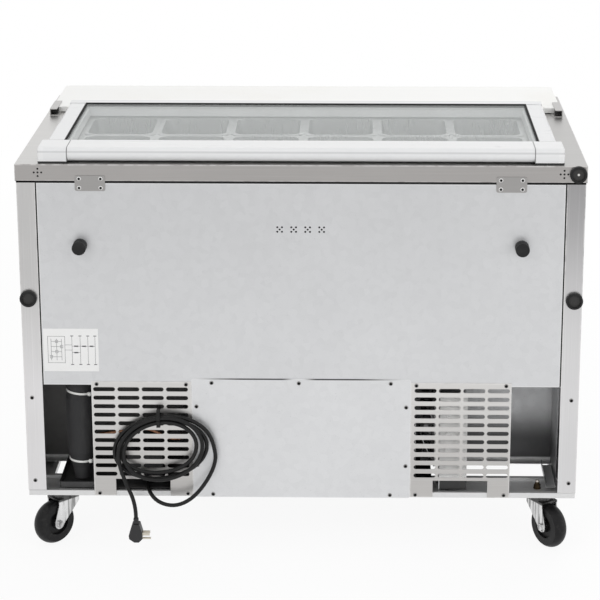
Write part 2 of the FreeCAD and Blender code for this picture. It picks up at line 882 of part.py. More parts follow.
def pan_bars():
    """Bars that carry the inner rims, one along the well and short ones across it."""
    z0, z1 = deck_top - bar_height, deck_top
    w = bar_width / 2
    t = bar_sheet
    x, y = half_well_x, half_well_y
    section = ((-w, z1), (-w, z0), (-w + t, z0), (-w + t, z1 - t), (w - t, z1 - t), (w - t, z0), (w, z0), (w, z1))
    bars = [prism([V(-x, well_center + a, b) for a, b in section], V(2 * x, 0, 0))]
    for column in range(1, pan_columns):
        cx = (column - pan_columns / 2) * pan_pitch_x
        for y0, y1 in ((well_center - y, well_center - w), (well_center + w, well_center + y)):
            bars.append(prism([V(cx + a, y0, b) for a, b in section], V(0, y1 - y0, 0)))
    return bars


# Cutting board

board_bottom = deck_top + clip_sheet + touch


def cutting_board():
    y1 = rear - board_rear_reach
    y0 = rear - board_reach
    board = box(-board_half, board_half, y0, y1, board_bottom, board_bottom + board_thickness)
    upright = [e for e in board.Edges if abs(e.Vertexes[0].Z - e.Vertexes[-1].Z) > 1]
    board = board.makeFillet(board_corner, upright)
    top = [e for e in board.Edges if all(abs(v.Z - board_bottom - board_thickness) < 0.01
                                         for v in e.Vertexes)]
    return board.makeFillet(board_edge, top)


def board_clips():
    """Channel clip over each rear corner of the board."""
    y1 = rear - board_rear_reach + clip_behind
    y0 = y1 - clip_length
    x1 = board_half + clip_gap + clip_sheet
    z0 = deck_top
    z1 = board_bottom + board_thickness + clip_gap + clip_sheet
    x0 = x1 - clip_cover
    path = [(x0 - clip_foot, z0), (x1, z0), (x1, z1), (x0, z1)]
    return both_sides(sheet_along_y(path, clip_sheet, y0, y1))


# Doors

hinge_x = half_body - hinge_inset
hinge_y = front + hinge_setback
door_x0 = door_gap / 2
door_x1 = half_body - door_side_gap
pocket_x0, pocket_x1 = 34.0, 74.0
pocket_z1 = door_top - 60.0
pocket_z0 = pocket_z1 - 140.0
pocket_depth = 24.0
pocket_lip = 6.0
pocket_corner = 12.0
cup_depth = 10.0
cup_inset = 12.0
bore_spare = 2.0
skin_bore_gap = 1.5
plug_height = 13.0
plug_corner = 14.0
plug_low = 58.0
plug_high = 60.0
plug_meeting = 46.0
plug_hinge = 62.0
gasket_meeting = 14.0
gasket_hinge = 2.0


def pocket(depth, margin):
    y = front - 1
    cut = box(pocket_x0 - margin, pocket_x1 + margin, y, front + depth, pocket_z0 - margin, pocket_z1 + margin)
    edges = [e for e in cut.Edges if abs(e.Vertexes[0].Y - e.Vertexes[-1].Y) > 1]
    return cut.makeFillet(pocket_corner, edges)


def hinge_bores(radius):
    bores = []
    deep = pin_length + bore_spare
    for z0, z1 in ((door_bottom - 1, door_bottom + deep), (door_top - deep, door_top + 1)):
        bores.append(rod(radius, V(hinge_x, hinge_y, z0), V(hinge_x, hinge_y, z1)))
    return bores


def door_skin():
    """Stainless tray of the right door: front face with four returns and the handle pocket."""
    outer = box(door_x0, door_x1, front, front + door_fold, door_bottom, door_top)
    upright = [e for e in outer.Edges if abs(e.Vertexes[0].Z - e.Vertexes[-1].Z) > 1
               and abs(e.Vertexes[0].Y - front) < 0.01]
    outer = outer.makeFillet(door_edge, upright)
    inner = box(door_x0 + skin, door_x1 - skin, front + skin, front + door_fold + 1,
                door_bottom + skin, door_top - skin)
    tray = outer.cut(inner).cut(pocket(skin * 3, 0))
    for bore in hinge_bores(pin_radius + skin_bore_gap):
        tray = tray.cut(bore)
    return tray


def door_core():
    """Foam core with the handle cup and the raised inner panel, and the gasket round it."""
    c = touch
    core = box(door_x0 + skin + c, door_x1 - skin - c, front + skin + c, door_back,
               door_bottom + skin + c, door_top - skin - c)
    plug = box(door_x0 + plug_meeting, half_body - plug_hinge, door_back - 1, door_back + plug_height,
               door_bottom + plug_low, door_top - plug_high)
    upright = [e for e in plug.Edges if abs(e.Vertexes[0].Y - e.Vertexes[-1].Y) > 1]
    plug = plug.makeFillet(plug_corner, upright)
    core = core.fuse(plug).cut(pocket(pocket_depth, 0))
    cup = box(pocket_x0 - cup_depth, pocket_x0 + 1, front + pocket_lip, front + pocket_depth,
              pocket_z0 + cup_inset, pocket_z1 - cup_inset)
    core = core.cut(cup)
    for bore in hinge_bores(pin_radius + running_gap):
        core = core.cut(bore)
    x0, x1 = door_x0 + gasket_meeting, hinge_x - gasket_hinge
    z0, z1 = door_bottom + gasket_inset, door_top - gasket_inset
    g = gasket_width
    ring = box(x0, x1, door_back, door_back + gasket_thickness, z0, z1)
    ring = ring.cut(box(x0 + g, x1 - g, door_back - 1, door_back + gasket_thickness + 1, z0 + g, z1 - g))
    return [core.removeSplitter(), ring]


def hinge_brackets():
    """Pivot plates above and below each door, with their pins."""
    x1 = half_body - bracket_inset
    x0 = x1 - bracket_width
    y0 = hinge_y - bracket_reach
    ear_y = frame_face - ear_sheet
    z = door_bottom - bracket_gap
    low = box(x0, x1, y0, frame_face, z - bracket_sheet, z)
    ear = box(x0, x1, ear_y, frame_face, door_bottom - ear_height, z)
    pin = rod(pin_radius, V(hinge_x, hinge_y, z - 2), V(hinge_x, hinge_y, door_bottom + pin_length))
    low = low.fuse(ear).fuse(pin)
    z = door_top + bracket_gap
    high = box(x0, x1, y0, frame_face, z, z + bracket_sheet)
    ear = box(x0, x1, ear_y, frame_face, z, fascia_bottom - skin - touch)
    pin = rod(pin_radius, V(hinge_x, hinge_y, z + 2), V(hinge_x, hinge_y, door_top - pin_length))
    high = high.fuse(ear).fuse(pin)
    return both_sides(low.removeSplitter()) + both_sides(high.removeSplitter())


# Inside the cabinet

shelf_height = 330.0
shelf_meeting = 8.0
shelf_side_gap = 6.0
shelf_end_gap = 8.0
shelf_bar = 3.0
shelf_wire = 2.2
shelf_wires = 18
wire_sink = 1.8
wire_end = 3.0
peg_reach = 14.0
peg_width = 16.0
peg_height = 4.0
peg_inset = 30.0
post_peg_x = 16.0


def wire_shelf():
    """Wire shelf of the right bay, resting on four pegs."""
    inner = half_body - skin - wall - liner_sheet
    x0, x1 = shelf_meeting, inner - shelf_side_gap
    post_back = frame_face + skin + post_depth
    step_face = bay_front - wall - liner_sheet
    y0, y1 = post_back + shelf_end_gap, step_face - shelf_end_gap
    z = shelf_height
    r = shelf_bar
    shelf = None
    for y in (y0, (y0 + y1) / 2, y1):
        bar = rod(r, V(x0, y, z), V(x1, y, z))
        shelf = bar if shelf is None else shelf.fuse(bar)
    wire_z = z + shelf_bar + shelf_wire - wire_sink
    for i in range(shelf_wires):
        x = x0 + r + i * (x1 - x0 - 2 * r) / (shelf_wires - 1)
        shelf = shelf.fuse(rod(shelf_wire, V(x, y0 - wire_end, wire_z), V(x, y1 + wire_end, wire_z)))
    pegs = []
    peg_z0, peg_z1 = z - r - peg_height, z - r
    for y in (y0 + peg_inset, y1 - peg_inset):
        pegs.append(box(inner - peg_reach, inner, y - peg_width / 2, y + peg_width / 2, peg_z0, peg_z1))
    a, b = post_peg_x, post_peg_x + peg_width
    pegs.append(box(a, b, post_back, post_back + peg_reach, peg_z0, peg_z1))
    pegs.append(box(a, b, step_face - peg_reach, step_face, peg_z0, peg_z1))
    return [shelf] + pegs


def wire_shelves():
    return [shape for piece in wire_shelf() for shape in both_sides(piece)]


# Evaporator on the back liner above the step

evap_half = 330.0
evap_depth = 96.0
evap_rise = 21.0
evap_drop = 49.0
evap_low = bay_top + skin + wall + evap_rise
evap_high = deck_top - pan_depth - evap_drop
evap_fan_x = 200.0
evap_fan_z = (evap_low + evap_high) / 2
evap_fan_radius = 70.0
evap_slot_rows = 8
evap_slot_columns = 6
evap_slot_pitch = 62.0
evap_slot_side = 50.0
evap_slot_low = 32.0
evap_slot_high = 40.0
evap_back = rear - skin - wall - liner_sheet
guard_gap = 4.0
guard_hub = 24.0
guard_bar = 4.0
evap_coil_x0, evap_coil_x1 = -300.0, 60.0
evap_coil_front = 78.0
evap_coil_back = 12.0
evap_coil_low = 22.0
evap_coil_high = 40.0
evap_fins = 24
evap_tube_rows = 5
fin_sheet = 1.0
coil_tube = 4.8
tube_end = 12.0
tube_inset = 16.0
tube_margin = 24.0


def evaporator_cover():
    """Bent cover with the fan outlet, a ring of guard bars and return slots below."""
    y0 = evap_back - evap_depth
    path = [(evap_back, evap_low), (y0, evap_low), (y0, evap_high), (evap_back, evap_high)]
    cover = sheet_along_x(path, -skin, -evap_half, evap_half)
    for x in (-evap_half, evap_half - skin):
        cover = cover.fuse(box(x, x + skin, y0, evap_back, evap_low, evap_high))
    start = V(evap_fan_x, y0 - 1, evap_fan_z)
    through = Y_AXIS * (skin + 3)
    hole = rod(evap_fan_radius + guard_gap, start, start + through)
    bars = rod(guard_hub, start, start + through)
    reach = evap_fan_radius + guard_gap + 2
    for angle in range(0, 180, 45):
        bar = box(-reach, reach, -3, 3, -guard_bar / 2, guard_bar / 2)
        bar.rotate(V(0, 0, 0), Y_AXIS, angle)
        bar.translate(V(evap_fan_x, y0, evap_fan_z))
        bars = bars.fuse(bar)
    cover = cover.cut(hole.cut(bars))
    slots = []
    lowest = evap_low + evap_slot_low
    step = (evap_high - evap_slot_high - lowest) / (evap_slot_rows - 1)
    for column in range(evap_slot_columns):
        x = evap_slot_pitch * column - evap_half + evap_slot_side
        for row in range(evap_slot_rows):
            slots.append(slot_through_y(x, lowest + row * step, slot_length, slot_height, y0 - 1, y0 + 3))
    return cover.cut(Part.makeCompound(slots)).removeSplitter()


def evaporator_coil():
    """Fins on three rows of tube between two end plates."""
    x0, x1 = evap_coil_x0, evap_coil_x1
    y0, y1 = evap_back - evap_coil_front, evap_back - evap_coil_back
    z0, z1 = evap_low + evap_coil_low, evap_high - evap_coil_high
    fins = []
    for i in range(evap_fins):
        x = x0 + i * (x1 - x0) / (evap_fins - 1)
        fins.append(box(x - fin_sheet / 2, x + fin_sheet / 2, y0, y1, z0, z1))
    tubes = []
    for y in (y0 + tube_inset, y1 - tube_inset):
        for k in range(evap_tube_rows):
            z = z0 + tube_margin + k * (z1 - z0 - 2 * tube_margin) / (evap_tube_rows - 1)
            tubes.append(rod(coil_tube, V(x0 - tube_end, y, z), V(x1 + tube_end, y, z)))
    block = fins[0].multiFuse(fins[1:] + tubes)
    bracket = box(x0 - fin_sheet / 2, x0 + 60, y1, evap_back, z1 - 20, z1 - 16)
    return block.fuse(bracket)


blade_sheet = 1.8
fan_blades = 5
fan_depth = 24.0
blade_pitch = 23.0


def fan_wheel(radius, hub, depth, blades, pitch):
    """Propeller about the Z axis: a domed hub with pitched curved blades."""
    profile = [(0, 0), (hub, 0), (hub, depth * 0.7), (hub * 0.7, depth), (0, depth)]
    wheel = revolved(profile, V(0, 0, 0), Z_AXIS)
    for i in range(blades):
        inner = hub - 2
        spread = math.pi / blades * 0.8
        arc = lambda r, a: V(r * math.cos(a), r * math.sin(a), 0)
        edges = [
            Part.Arc(arc(inner, -spread), arc(inner, 0), arc(inner, spread)).toShape(),
            Part.LineSegment(arc(inner, spread), arc(radius, spread)).toShape(),
            Part.Arc(arc(radius, spread), arc(radius, 0), arc(radius, -spread)).toShape(),
            Part.LineSegment(arc(radius, -spread), arc(inner, -spread)).toShape(),
        ]
        blade = Part.Face(Part.Wire(edges)).extrude(V(0, 0, blade_sheet))
        blade.rotate(V(0, 0, 0), X_AXIS, pitch)
        blade.translate(V(0, 0, depth * 0.35))
        blade.rotate(V(0, 0, 0), Z_AXIS, i * 360 / blades)
        wheel = wheel.fuse(blade)
    return wheel.removeSplitter()


def bored(wheel, radius, base, axis):
    return wheel.cut(rod(radius + running_gap, base - axis * 2, base + axis * 2 * fan_depth))


def placed(shape, base, axis):
    copy = shape.copy()
    copy.Placement = FreeCAD.Placement(base, FreeCAD.Rotation(Z_AXIS, axis)).multiply(copy.Placement)
    return copy


evap_fan_setback = 12.0
evap_fan_hub = 18.0
evap_fan_gap = 4.0
evap_shaft = 3.0
evap_fan_y = evap_back - evap_depth + evap_fan_setback


def evaporator_fan():
    wheel = fan_wheel(evap_fan_radius - evap_fan_gap, evap_fan_hub, fan_depth, fan_blades, blade_pitch)
    base = V(evap_fan_x, evap_fan_y, evap_fan_z)
    return bored(placed(wheel, base, Y_AXIS), evap_shaft, base, Y_AXIS)


# Machine bay

condenser_inset = 94.0
condenser_width = 60.0
condenser_x0 = condenser_inset - grille_outer
condenser_x1 = condenser_x0 + condenser_width
tray_start = 16.0
tray_side_gap = 24.0
tray_front_gap = 8.0
tray_rear_gap = 14.0
tray_x0, tray_x1 = condenser_x1 + tray_start, half_back - tray_side_gap
tray_y0, tray_y1 = bay_front + tray_front_gap, rear - tray_rear_gap
tray_bottom = floor_top + skin
tray_sheet = 1.5
tray_wall = 14.0
tray_corner = 6.0
tray_top = tray_bottom + tray_sheet


def compressor_tray():
    x0, x1, y0, y1 = tray_x0, tray_x1, tray_y0, tray_y1
    t = tray_sheet
    tray = box(x0, x1, y0, y1, tray_bottom, tray_bottom + tray_wall)
    upright = [e for e in tray.Edges if abs(e.Vertexes[0].Z - e.Vertexes[-1].Z) > 1]
    tray = tray.makeFillet(tray_corner, upright)
    tray = tray.cut(box(x0 + t, x1 - t, y0 + t, y1 - t, tray_top, tray_bottom + 2 * tray_wall))
    half = notch_width / 2
    return tray.cut(box(notch_center - half, notch_center + half, y1 - 2 * t, y1 + t, tray_top, notch_top))


compressor_side = 35.0
compressor_setback = 104.0
compressor_x = panel_half - compressor_side
compressor_y = rear - compressor_setback
compressor_radius = 70.0
foot_height = 13.0
foot_radius = 12.0
foot_sheet = 4.0
foot_half_x = 88.0
foot_half_y = 74.0
foot_inset = 16.0
shell_bottom = tray_top + foot_height + foot_sheet - 1
terminal_half = 26.0
terminal_depth = 28.0
terminal_sink = 14.0
terminal_low = 40.0
terminal_high = 100.0


def compressor():
    """Welded dome shell on a foot plate with four rubber feet, terminal box and pipe stubs."""
    r = compressor_radius
    z = shell_bottom
    profile = [(0, z), (r - 22, z), (r - 6, z + 12), (r, z + 30), (r, z + 84), (r + 3, z + 86), (r + 3, z + 92),
               (r, z + 94), (r, z + 130), (r - 8, z + 152), (r - 26, z + 168), (0, z + 174)]
    shell = revolved(profile, V(compressor_x, compressor_y, 0), Z_AXIS)
    foot = rounded_plate(foot_half_x, foot_half_y, foot_inset,
                         (compressor_x, compressor_y, tray_top + foot_height), foot_sheet)
    body = shell.fuse(foot)
    box_y = compressor_y + r - terminal_sink
    terminal = box(compressor_x - terminal_half, compressor_x + terminal_half, box_y, box_y + terminal_depth,
                   z + terminal_low, z + terminal_high)
    upright = [e for e in terminal.Edges if abs(e.Vertexes[0].Z - e.Vertexes[-1].Z) > 1]
    body = body.fuse(terminal.makeFillet(5.0, upright))
    solids = [body.removeSplitter()]
    f, h = foot_radius, foot_height
    profile = [(0, 0), (f, 0), (f, 4), (f - 3, 6), (f - 3, h - 3), (f, h - 1), (f, h), (0, h)]
    for side in (-1, 1):
        for end in (-1, 1):
            x = compressor_x + side * (foot_half_x - foot_inset)
            y = compressor_y + end * (foot_half_y - foot_inset)
            solids.append(revolved(profile, V(x, y, tray_top), Z_AXIS))
    return solids


condenser_front_gap = 14.0
condenser_rear_gap = 16.0
condenser_head_gap = 22.0
condenser_fins = 22
condenser_tube_rows = 6
end_sheet = 1.5
fin_inset = 3.0
fin_margin = 4.0
tube_head = 22.0
condenser_y0, condenser_y1 = bay_front + condenser_front_gap, rear - condenser_rear_gap
condenser_z0, condenser_z1 = floor_top + skin, bay_top - condenser_head_gap
fan_z = (condenser_z0 + condenser_z1) / 2
fan_y = (condenser_y0 + condenser_y1) / 2
fan_radius = 80.0


def condenser_coil():
    """Fin pack on two columns of tube, with a bright end plate towards the grille."""
    x0, x1, y0, y1 = condenser_x0, condenser_x1, condenser_y0, condenser_y1
    z0, z1 = condenser_z0, condenser_z1
    fins = []
    t = fin_sheet / 2
    for i in range(condenser_fins):
        y = y0 + fin_margin + i * (y1 - y0 - 2 * fin_margin) / (condenser_fins - 1)
        fins.append(box(x0 + fin_inset, x1 - fin_inset, y - t, y + t, z0 + fin_margin, z1 - fin_margin))
    tubes = []
    for x in (x0 + tube_inset, x1 - tube_inset):
        for k in range(condenser_tube_rows):
            z = z0 + tube_head + k * (z1 - z0 - 2 * tube_head) / (condenser_tube_rows - 1)
            tubes.append(rod(coil_tube, V(x, y0 - 2, z), V(x, y1 + 4, z)))
    plates = [box(x0, x1, y0, y0 + end_sheet, z0, z1), box(x0, x1, y1 - end_sheet, y1, z0, z1)]
    return plates[0].multiFuse(plates[1:] + fins + tubes)


shroud_x = condenser_x1
shroud_sheet = 1.5
shroud_ring = 12.0
ring_gap = 4.5
arm_sheet = 3.0
arm_half = 26.0
arm_foot = 80.0
arm_gap = 6.0
fan_setback = 16.0
fan_hub = 20.0
fan_shaft = 4.0
motor_gap = 4.0
motor_radius = 34.0
motor_length = 42.0
fan_x = shroud_x + shroud_sheet + fan_setback
motor_x = fan_x + fan_depth + motor_gap


def condenser_shroud():
    """Fan plate against the coil with a rolled ring and the arm that carries the motor."""
    y0, y1 = condenser_y0, condenser_y1
    z0, z1 = condenser_z0, condenser_z1
    plate = box(shroud_x, shroud_x + shroud_sheet, y0, y1, z0, z1)
    start = V(shroud_x - 1, fan_y, fan_z)
    ring = rod(fan_radius + ring_gap + shroud_sheet, V(shroud_x, fan_y, fan_z),
               V(shroud_x + shroud_ring, fan_y, fan_z))
    hole = rod(fan_radius + ring_gap, start, start + X_AXIS * (shroud_ring + 4))
    shroud = plate.fuse(ring).cut(hole)
    arm_x = motor_x + arm_gap
    path = [(motor_x + arm_foot, tray_top), (arm_x, tray_top), (arm_x, fan_z + 22)]
    arm = sheet_along_y(path, -arm_sheet, fan_y - arm_half, fan_y + arm_half)
    shaft_hole = rod(fan_shaft + 2, V(motor_x, fan_y, fan_z), V(arm_x + 2 * arm_sheet, fan_y, fan_z))
    return [shroud, arm.cut(shaft_hole)]


def fan_motors():
    """Condenser fan motor on its arm, and the evaporator fan motor on the back liner."""
    a = arm_gap + arm_sheet
    b = a + motor_length
    r = motor_radius
    profile = [(0, a), (r - 4, a), (r, a + 4), (r, b - 4), (r - 4, b), (0, b)]
    body = revolved(profile, V(motor_x, fan_y, fan_z), X_AXIS)
    shaft = rod(fan_shaft, V(fan_x + 10, fan_y, fan_z), V(motor_x + a + arm_sheet, fan_y, fan_z))
    motors = [body.fuse(shaft)]
    y = evap_fan_y + fan_depth
    profile = [(0, 4), (24, 4), (27, 7), (27, 34), (0, 34)]
    body = revolved(profile, V(evap_fan_x, y, evap_fan_z), Y_AXIS)
    shaft = rod(evap_shaft, V(evap_fan_x, evap_fan_y + 8, evap_fan_z), V(evap_fan_x, y + 8, evap_fan_z))
    arm = box(evap_fan_x - 14, evap_fan_x + 14, y + 30, evap_back, evap_fan_z - 14, evap_fan_z + 14)
    motors.append(body.fuse(shaft).fuse(arm).removeSplitter())
    return motors


def condenser_fan():
    wheel = fan_wheel(fan_radius, fan_hub, fan_depth, fan_blades, blade_pitch)
    base = V(fan_x, fan_y, fan_z)
    return bored(placed(wheel, base, X_AXIS), fan_shaft, base, X_AXIS)


pipe_side = 72.0
pipe_setback = 48.0
pipe_x = half_back - pipe_side
pipe_y = rear - pipe_setback


def insulated_pipe():
    """Foam-wrapped riser from the bay roof, drawn in where it is tied."""
    top = bay_top - touch
    wrap = [(31, 0), (32, 13), (28.5, 25), (28.5, 31), (32, 43), (32.5, 111), (31, 169),
            (26, 185), (26, 193), (21, 205), (18, 226), (18, 233), (0, 233)]
    profile = [(0, 0)] + [(radius, -drop) for radius, drop in wrap]
    return revolved(profile, V(pipe_x, pipe_y, top), Z_AXIS)


def refrigerant_lines():
    """Suction and discharge pipes between riser, compressor and condenser, with the filter drier."""
    shell_side = compressor_x + compressor_radius
    lines = []
    z = shell_bottom + 66
    suction = [V(shell_side, compressor_y, z), V(shell_side + 30, compressor_y, z),
               V(shell_side + 70, compressor_y - 6, z + 22), V(shell_side + 120, compressor_y + 16, z + 26),
               V(pipe_x - 33.2, pipe_y - 6, z + 26)]
    lines.append(route_tube("suction line", suction, 4.8))
    stub = 30.0
    discharge_radius = 3.4
    left = compressor_x - math.sqrt(compressor_radius ** 2 - (stub - discharge_radius) ** 2)
    z2 = shell_bottom + 100
    y2 = compressor_y - stub
    y3 = bay_front + 30
    z3 = bay_top - 45
    discharge = [V(left, y2, z2), V(left - 46, y2, z2), V(left - 94, y2 - 12, z2 + 26),
                 V(left - 138, y3 + 8, z2 + 60), V(left - 188, y3, z3), V(left - 238, y3, z3)]
    lines.append(route_tube("discharge line", discharge, discharge_radius))
    reach = discharge[-1].x - shroud_x - shroud_sheet
    drier = revolved([(0, 0), (3.4, 0), (3.4, 14), (11, 26), (11, 96), (3.4, 108), (3.4, reach), (0, reach)],
                     discharge[-1], V(-1, 0, 0))
    lines.append(drier)
    return lines


gland_length = 32.0
case_depth = 92.0
case_height = 60.0
case_corner = 4.0
case_lid = 4.0
lid_margin = 3.0


def electrical_box():
    """Wiring box on the tray, with the strain relief of the power cord."""
    y1 = gland_exit.y - gland_length
    x0, x1 = gland_exit.x - 32, gland_exit.x + 52
    y0 = y1 - case_depth
    z = tray_top + case_height
    case = box(x0, x1, y0, y1, tray_top, z)
    upright = [e for e in case.Edges if abs(e.Vertexes[0].Z - e.Vertexes[-1].Z) > 1]
    case = case.makeFillet(case_corner, upright)
    m = lid_margin
    lid = box(x0 - m, x1 + m, y0 - m, y1 + m, z, z + case_lid)
    n = gland_length
    c = cord_radius
    profile = [(0, 0), (c + 3.2, 0), (c + 3.2, 4), (c + 2.4, 5), (c + 2.4, 7), (c + 2.8, 8), (c + 1.2, n), (0, n)]
    gland = revolved(profile, V(gland_exit.x, y1, gland_exit.z), Y_AXIS)
    return case.fuse(lid).fuse(gland).removeSplitter()


pan_clearance = 21.0
arm_clearance = 30.5
drip_front = 10.0
drip_rear = 12.0
drip_height = 40.0
drip_wall = 2.5
drip_corner = 10.0


def condensate_tray():
    x0 = motor_x + arm_foot + arm_clearance
    x1 = compressor_x - foot_half_x - pan_clearance
    y0, y1 = tray_y0 + drip_front, tray_y1 - drip_rear
    t = drip_wall
    outer = box(x0, x1, y0, y1, tray_top, tray_top + drip_height)
    upright = [e for e in outer.Edges if abs(e.Vertexes[0].Z - e.Vertexes[-1].Z) > 1]
    outer = outer.makeFillet(drip_corner, upright)
    return outer.cut(box(x0 + t, x1 - t, y0 + t, y1 - t, tray_top + t, tray_top + drip_height + 1))


# Casters, built about the swivel axis with the wheel trailing along +X

def caster_plate():
    z1 = body_bottom
    z0 = z1 - race_drop
    plate = rounded_plate(plate_length / 2, plate_width / 2, plate_corner, (0, 0, z1 - plate_sheet), plate_sheet)
    race = revolved([(0, z1 - plate_sheet), (race_radius, z1 - plate_sheet), (race_radius, z0 + race_edge),
                     (race_radius - race_edge, z0), (0, z0)], V(0, 0, 0), Z_AXIS)
    king = rod(king_radius, V(0, 0, z0 + 1), V(0, 0, crown_bottom + fork_sheet + 1))
    solid = plate.fuse(race).fuse(king)
    for dx in (-bolt_x, bolt_x):
        for dy in (-bolt_y, bolt_y):
            start = V(dx, dy, z1 - plate_sheet - bolt_height)
            solid = solid.fuse(Part.makeCylinder(bolt_radius, bolt_height, start))
    return solid.removeSplitter()


def fork_leg(ear):
    """Side view of a fork leg, with an ear for the brake pedal on the locking casters."""
    z = crown_bottom
    toe = wheel_radius - 3
    points = [(-crown_back, z + fork_sheet), (-crown_back, z - leg_shoulder), (trail - toe_radius, toe),
              (trail + toe_radius, toe), (trail + toe_radius, wheel_radius + 6)]
    if ear:
        points += [(50, z - 16), (60, z - 8), (60, z + fork_sheet)]
    else:
        points += [(crown_front, z - leg_shoulder), (crown_front, z + fork_sheet)]
    return points


def caster_fork(ear):
    inner = hub_width / 2 + leg_gap
    outer = inner + fork_sheet
    fork = None
    for side in (-1, 1):
        y = side * inner
        leg = prism([V(a, y, b) for a, b in fork_leg(ear)], V(0, side * fork_sheet, 0))
        toe = rod(toe_radius, V(trail, y, wheel_radius), V(trail, side * outer, wheel_radius))
        leg = leg.fuse(toe)
        fork = leg if fork is None else fork.fuse(leg)
    crown = box(-crown_back, crown_front, -outer, outer, crown_bottom, crown_bottom + fork_sheet)
    top = body_bottom - race_drop - race_gap
    cup = revolved([(king_radius + race_gap, crown_bottom + 1), (race_radius, crown_bottom + 1),
                    (race_radius, top - 3), (race_radius - race_edge, top), (king_radius + race_gap, top)],
                   V(0, 0, 0), Z_AXIS)
    bore = rod(king_radius + race_gap, V(0, 0, crown_bottom - 1), V(0, 0, top + 1))
    fork = fork.fuse(crown).fuse(cup).cut(bore)
    ends = outer + axle_end
    axle = rod(axle_radius, V(trail, -ends, wheel_radius), V(trail, ends, wheel_radius))
    for side in (-1, 1):
        start = V(trail, side * outer, wheel_radius)
        nut = Part.Face(Part.makePolygon([
            start + V(nut_radius * math.cos(a * math.pi / 3), 0, nut_radius * math.sin(a * math.pi / 3))
            for a in range(7)
        ])).extrude(V(0, side * nut_height, 0))
        axle = axle.fuse(nut)
    fork = fork.fuse(axle)
    if ear:
        for side in (-1, 1):
            y = side * inner
            hole = rod(pedal_pin, V(pedal_t, y - side, pedal_z), V(pedal_t, side * (outer + 1), pedal_z))
            fork = fork.cut(hole)
    return fork.removeSplitter()


pedal_t = 52.0
pedal_z = crown_bottom - 1.0
pedal_pin = 3.0


def brake_pedal():
    """Foot lever on a pin between the fork ears."""
    inner = hub_width / 2
    outer = inner + leg_gap + fork_sheet
    barrel = rod(5.2, V(pedal_t, -inner, pedal_z), V(pedal_t, inner, pedal_z))
    pin = rod(pedal_pin - running_gap, V(pedal_t, -outer, pedal_z), V(pedal_t, outer, pedal_z))
    side_view = [(pedal_t - 2, pedal_z + 2), (pedal_t + 22, pedal_z + 7), (pedal_t + 44, pedal_z + 6),
                 (pedal_t + 46, pedal_z + 3), (pedal_t + 44, pedal_z + 2.6), (pedal_t + 22, pedal_z + 3.6),
                 (pedal_t + 2, pedal_z - 2)]
    tongue = prism([V(a, -inner + 2, b) for a, b in side_view], V(0, 2 * inner - 4, 0))
    return barrel.fuse(pin).fuse(tongue).removeSplitter()


def caster_wheel():
    """Rubber tyre with rounded shoulders on a ribbed hub."""
    r, w, h = wheel_radius, wheel_width / 2, hub_radius
    arc = Part.Arc(V(r - 7, 0, w), V(r, 0, 0), V(r - 7, 0, -w)).toShape()
    tyre_face = Part.Face(Part.Wire([
        arc,
        Part.LineSegment(V(r - 7, 0, -w), V(h, 0, -w)).toShape(),
        Part.LineSegment(V(h, 0, -w), V(h, 0, w)).toShape(),
        Part.LineSegment(V(h, 0, w), V(r - 7, 0, w)).toShape(),
    ]))
    tyre = tyre_face.revolve(V(0, 0, 0), Z_AXIS, 360)
    b = axle_radius + running_gap
    k = hub_width / 2
    hub_profile = [(b, -k), (13, -k), (14, -w + 6), (h - 5, -w + 6), (h - 4, -w), (h, -w),
                   (h, w), (h - 4, w), (h - 5, w - 6), (14, w - 6), (13, k), (b, k)]
    hub = revolved(hub_profile, V(0, 0, 0), Z_AXIS)
    pieces = []
    for shape in (tyre, hub):
        shape.rotate(V(0, 0, 0), X_AXIS, 90)
        shape.translate(V(trail, 0, wheel_radius))
        pieces.append(shape)
    return pieces


def at_caster(shape, place):
    x, y, turn = place
    copy = shape.copy()
    copy.rotate(V(0, 0, 0), Z_AXIS, turn)
    copy.translate(V(x, y, 0))
    return copy


caster_places = {
    "rear_right": (swivel_x, rear - swivel_inset_rear, rear_turn_right),
    "rear_left": (-swivel_x, rear - swivel_inset_rear, rear_turn_left),
    "front_right": (swivel_x, frame_face + swivel_inset_front, -front_turn),
    "front_left": (-swivel_x, frame_face + swivel_inset_front, -front_turn),
}


# Power cord

def biarc(p0, t0, p1, t1):
    """Two arcs that leave p0 along t0 and reach p1 along t1."""
    v = p1 - p0
    t = t0 + t1
    a = 2 * (1 - t0.dot(t1))
    d = (-v.dot(t) + math.sqrt(v.dot(t) ** 2 + a * v.dot(v))) / a
    joint = (p0 + t0 * d + p1 - t1 * d) * 0.5
    way = (p1 - t1 * d - p0 - t0 * d).normalize()
    return [arc_from(p0, t0, joint), arc_from(joint, way, p1)]


def arc_from(start, heading, end):
    chord = end - start
    across = chord - heading * chord.dot(heading)
    radius = chord.dot(chord) / (2 * across.Length)
    toward = across.normalize()
    center = start + toward * radius
    middle = (start + end) * 0.5 - center
    return Part.Arc(start, center + middle.normalize() * radius, end).toShape()


def coil_point(turn):
    """Hanging loops: the spiral runs in on one layer and out again on the next, which is narrower and leans."""
    half = coil_turns / 2
    depth = turn if turn < half else coil_turns - turn
    climb = min(max((turn - half + 0.25) / 0.5, 0), 1)
    lift = climb * climb * (3 - 2 * climb)
    angle = 2 * math.pi * turn
    slack = coil_pitch + coil_spread * (1 - math.sin(angle)) / 2
    shrink = slack * depth
    half_x = coil_half_x + (coil_front_x - coil_half_x) * lift
    across = -(half_x - shrink) * math.cos(angle)
    up = (coil_half_z - shrink) * math.sin(angle)
    lean = math.radians(coil_tilt + coil_lean * lift)
    return coil_center + V(across * math.cos(lean) + up * math.sin(lean),
                           coil_layer * lift,
                           up * math.cos(lean) - across * math.sin(lean))


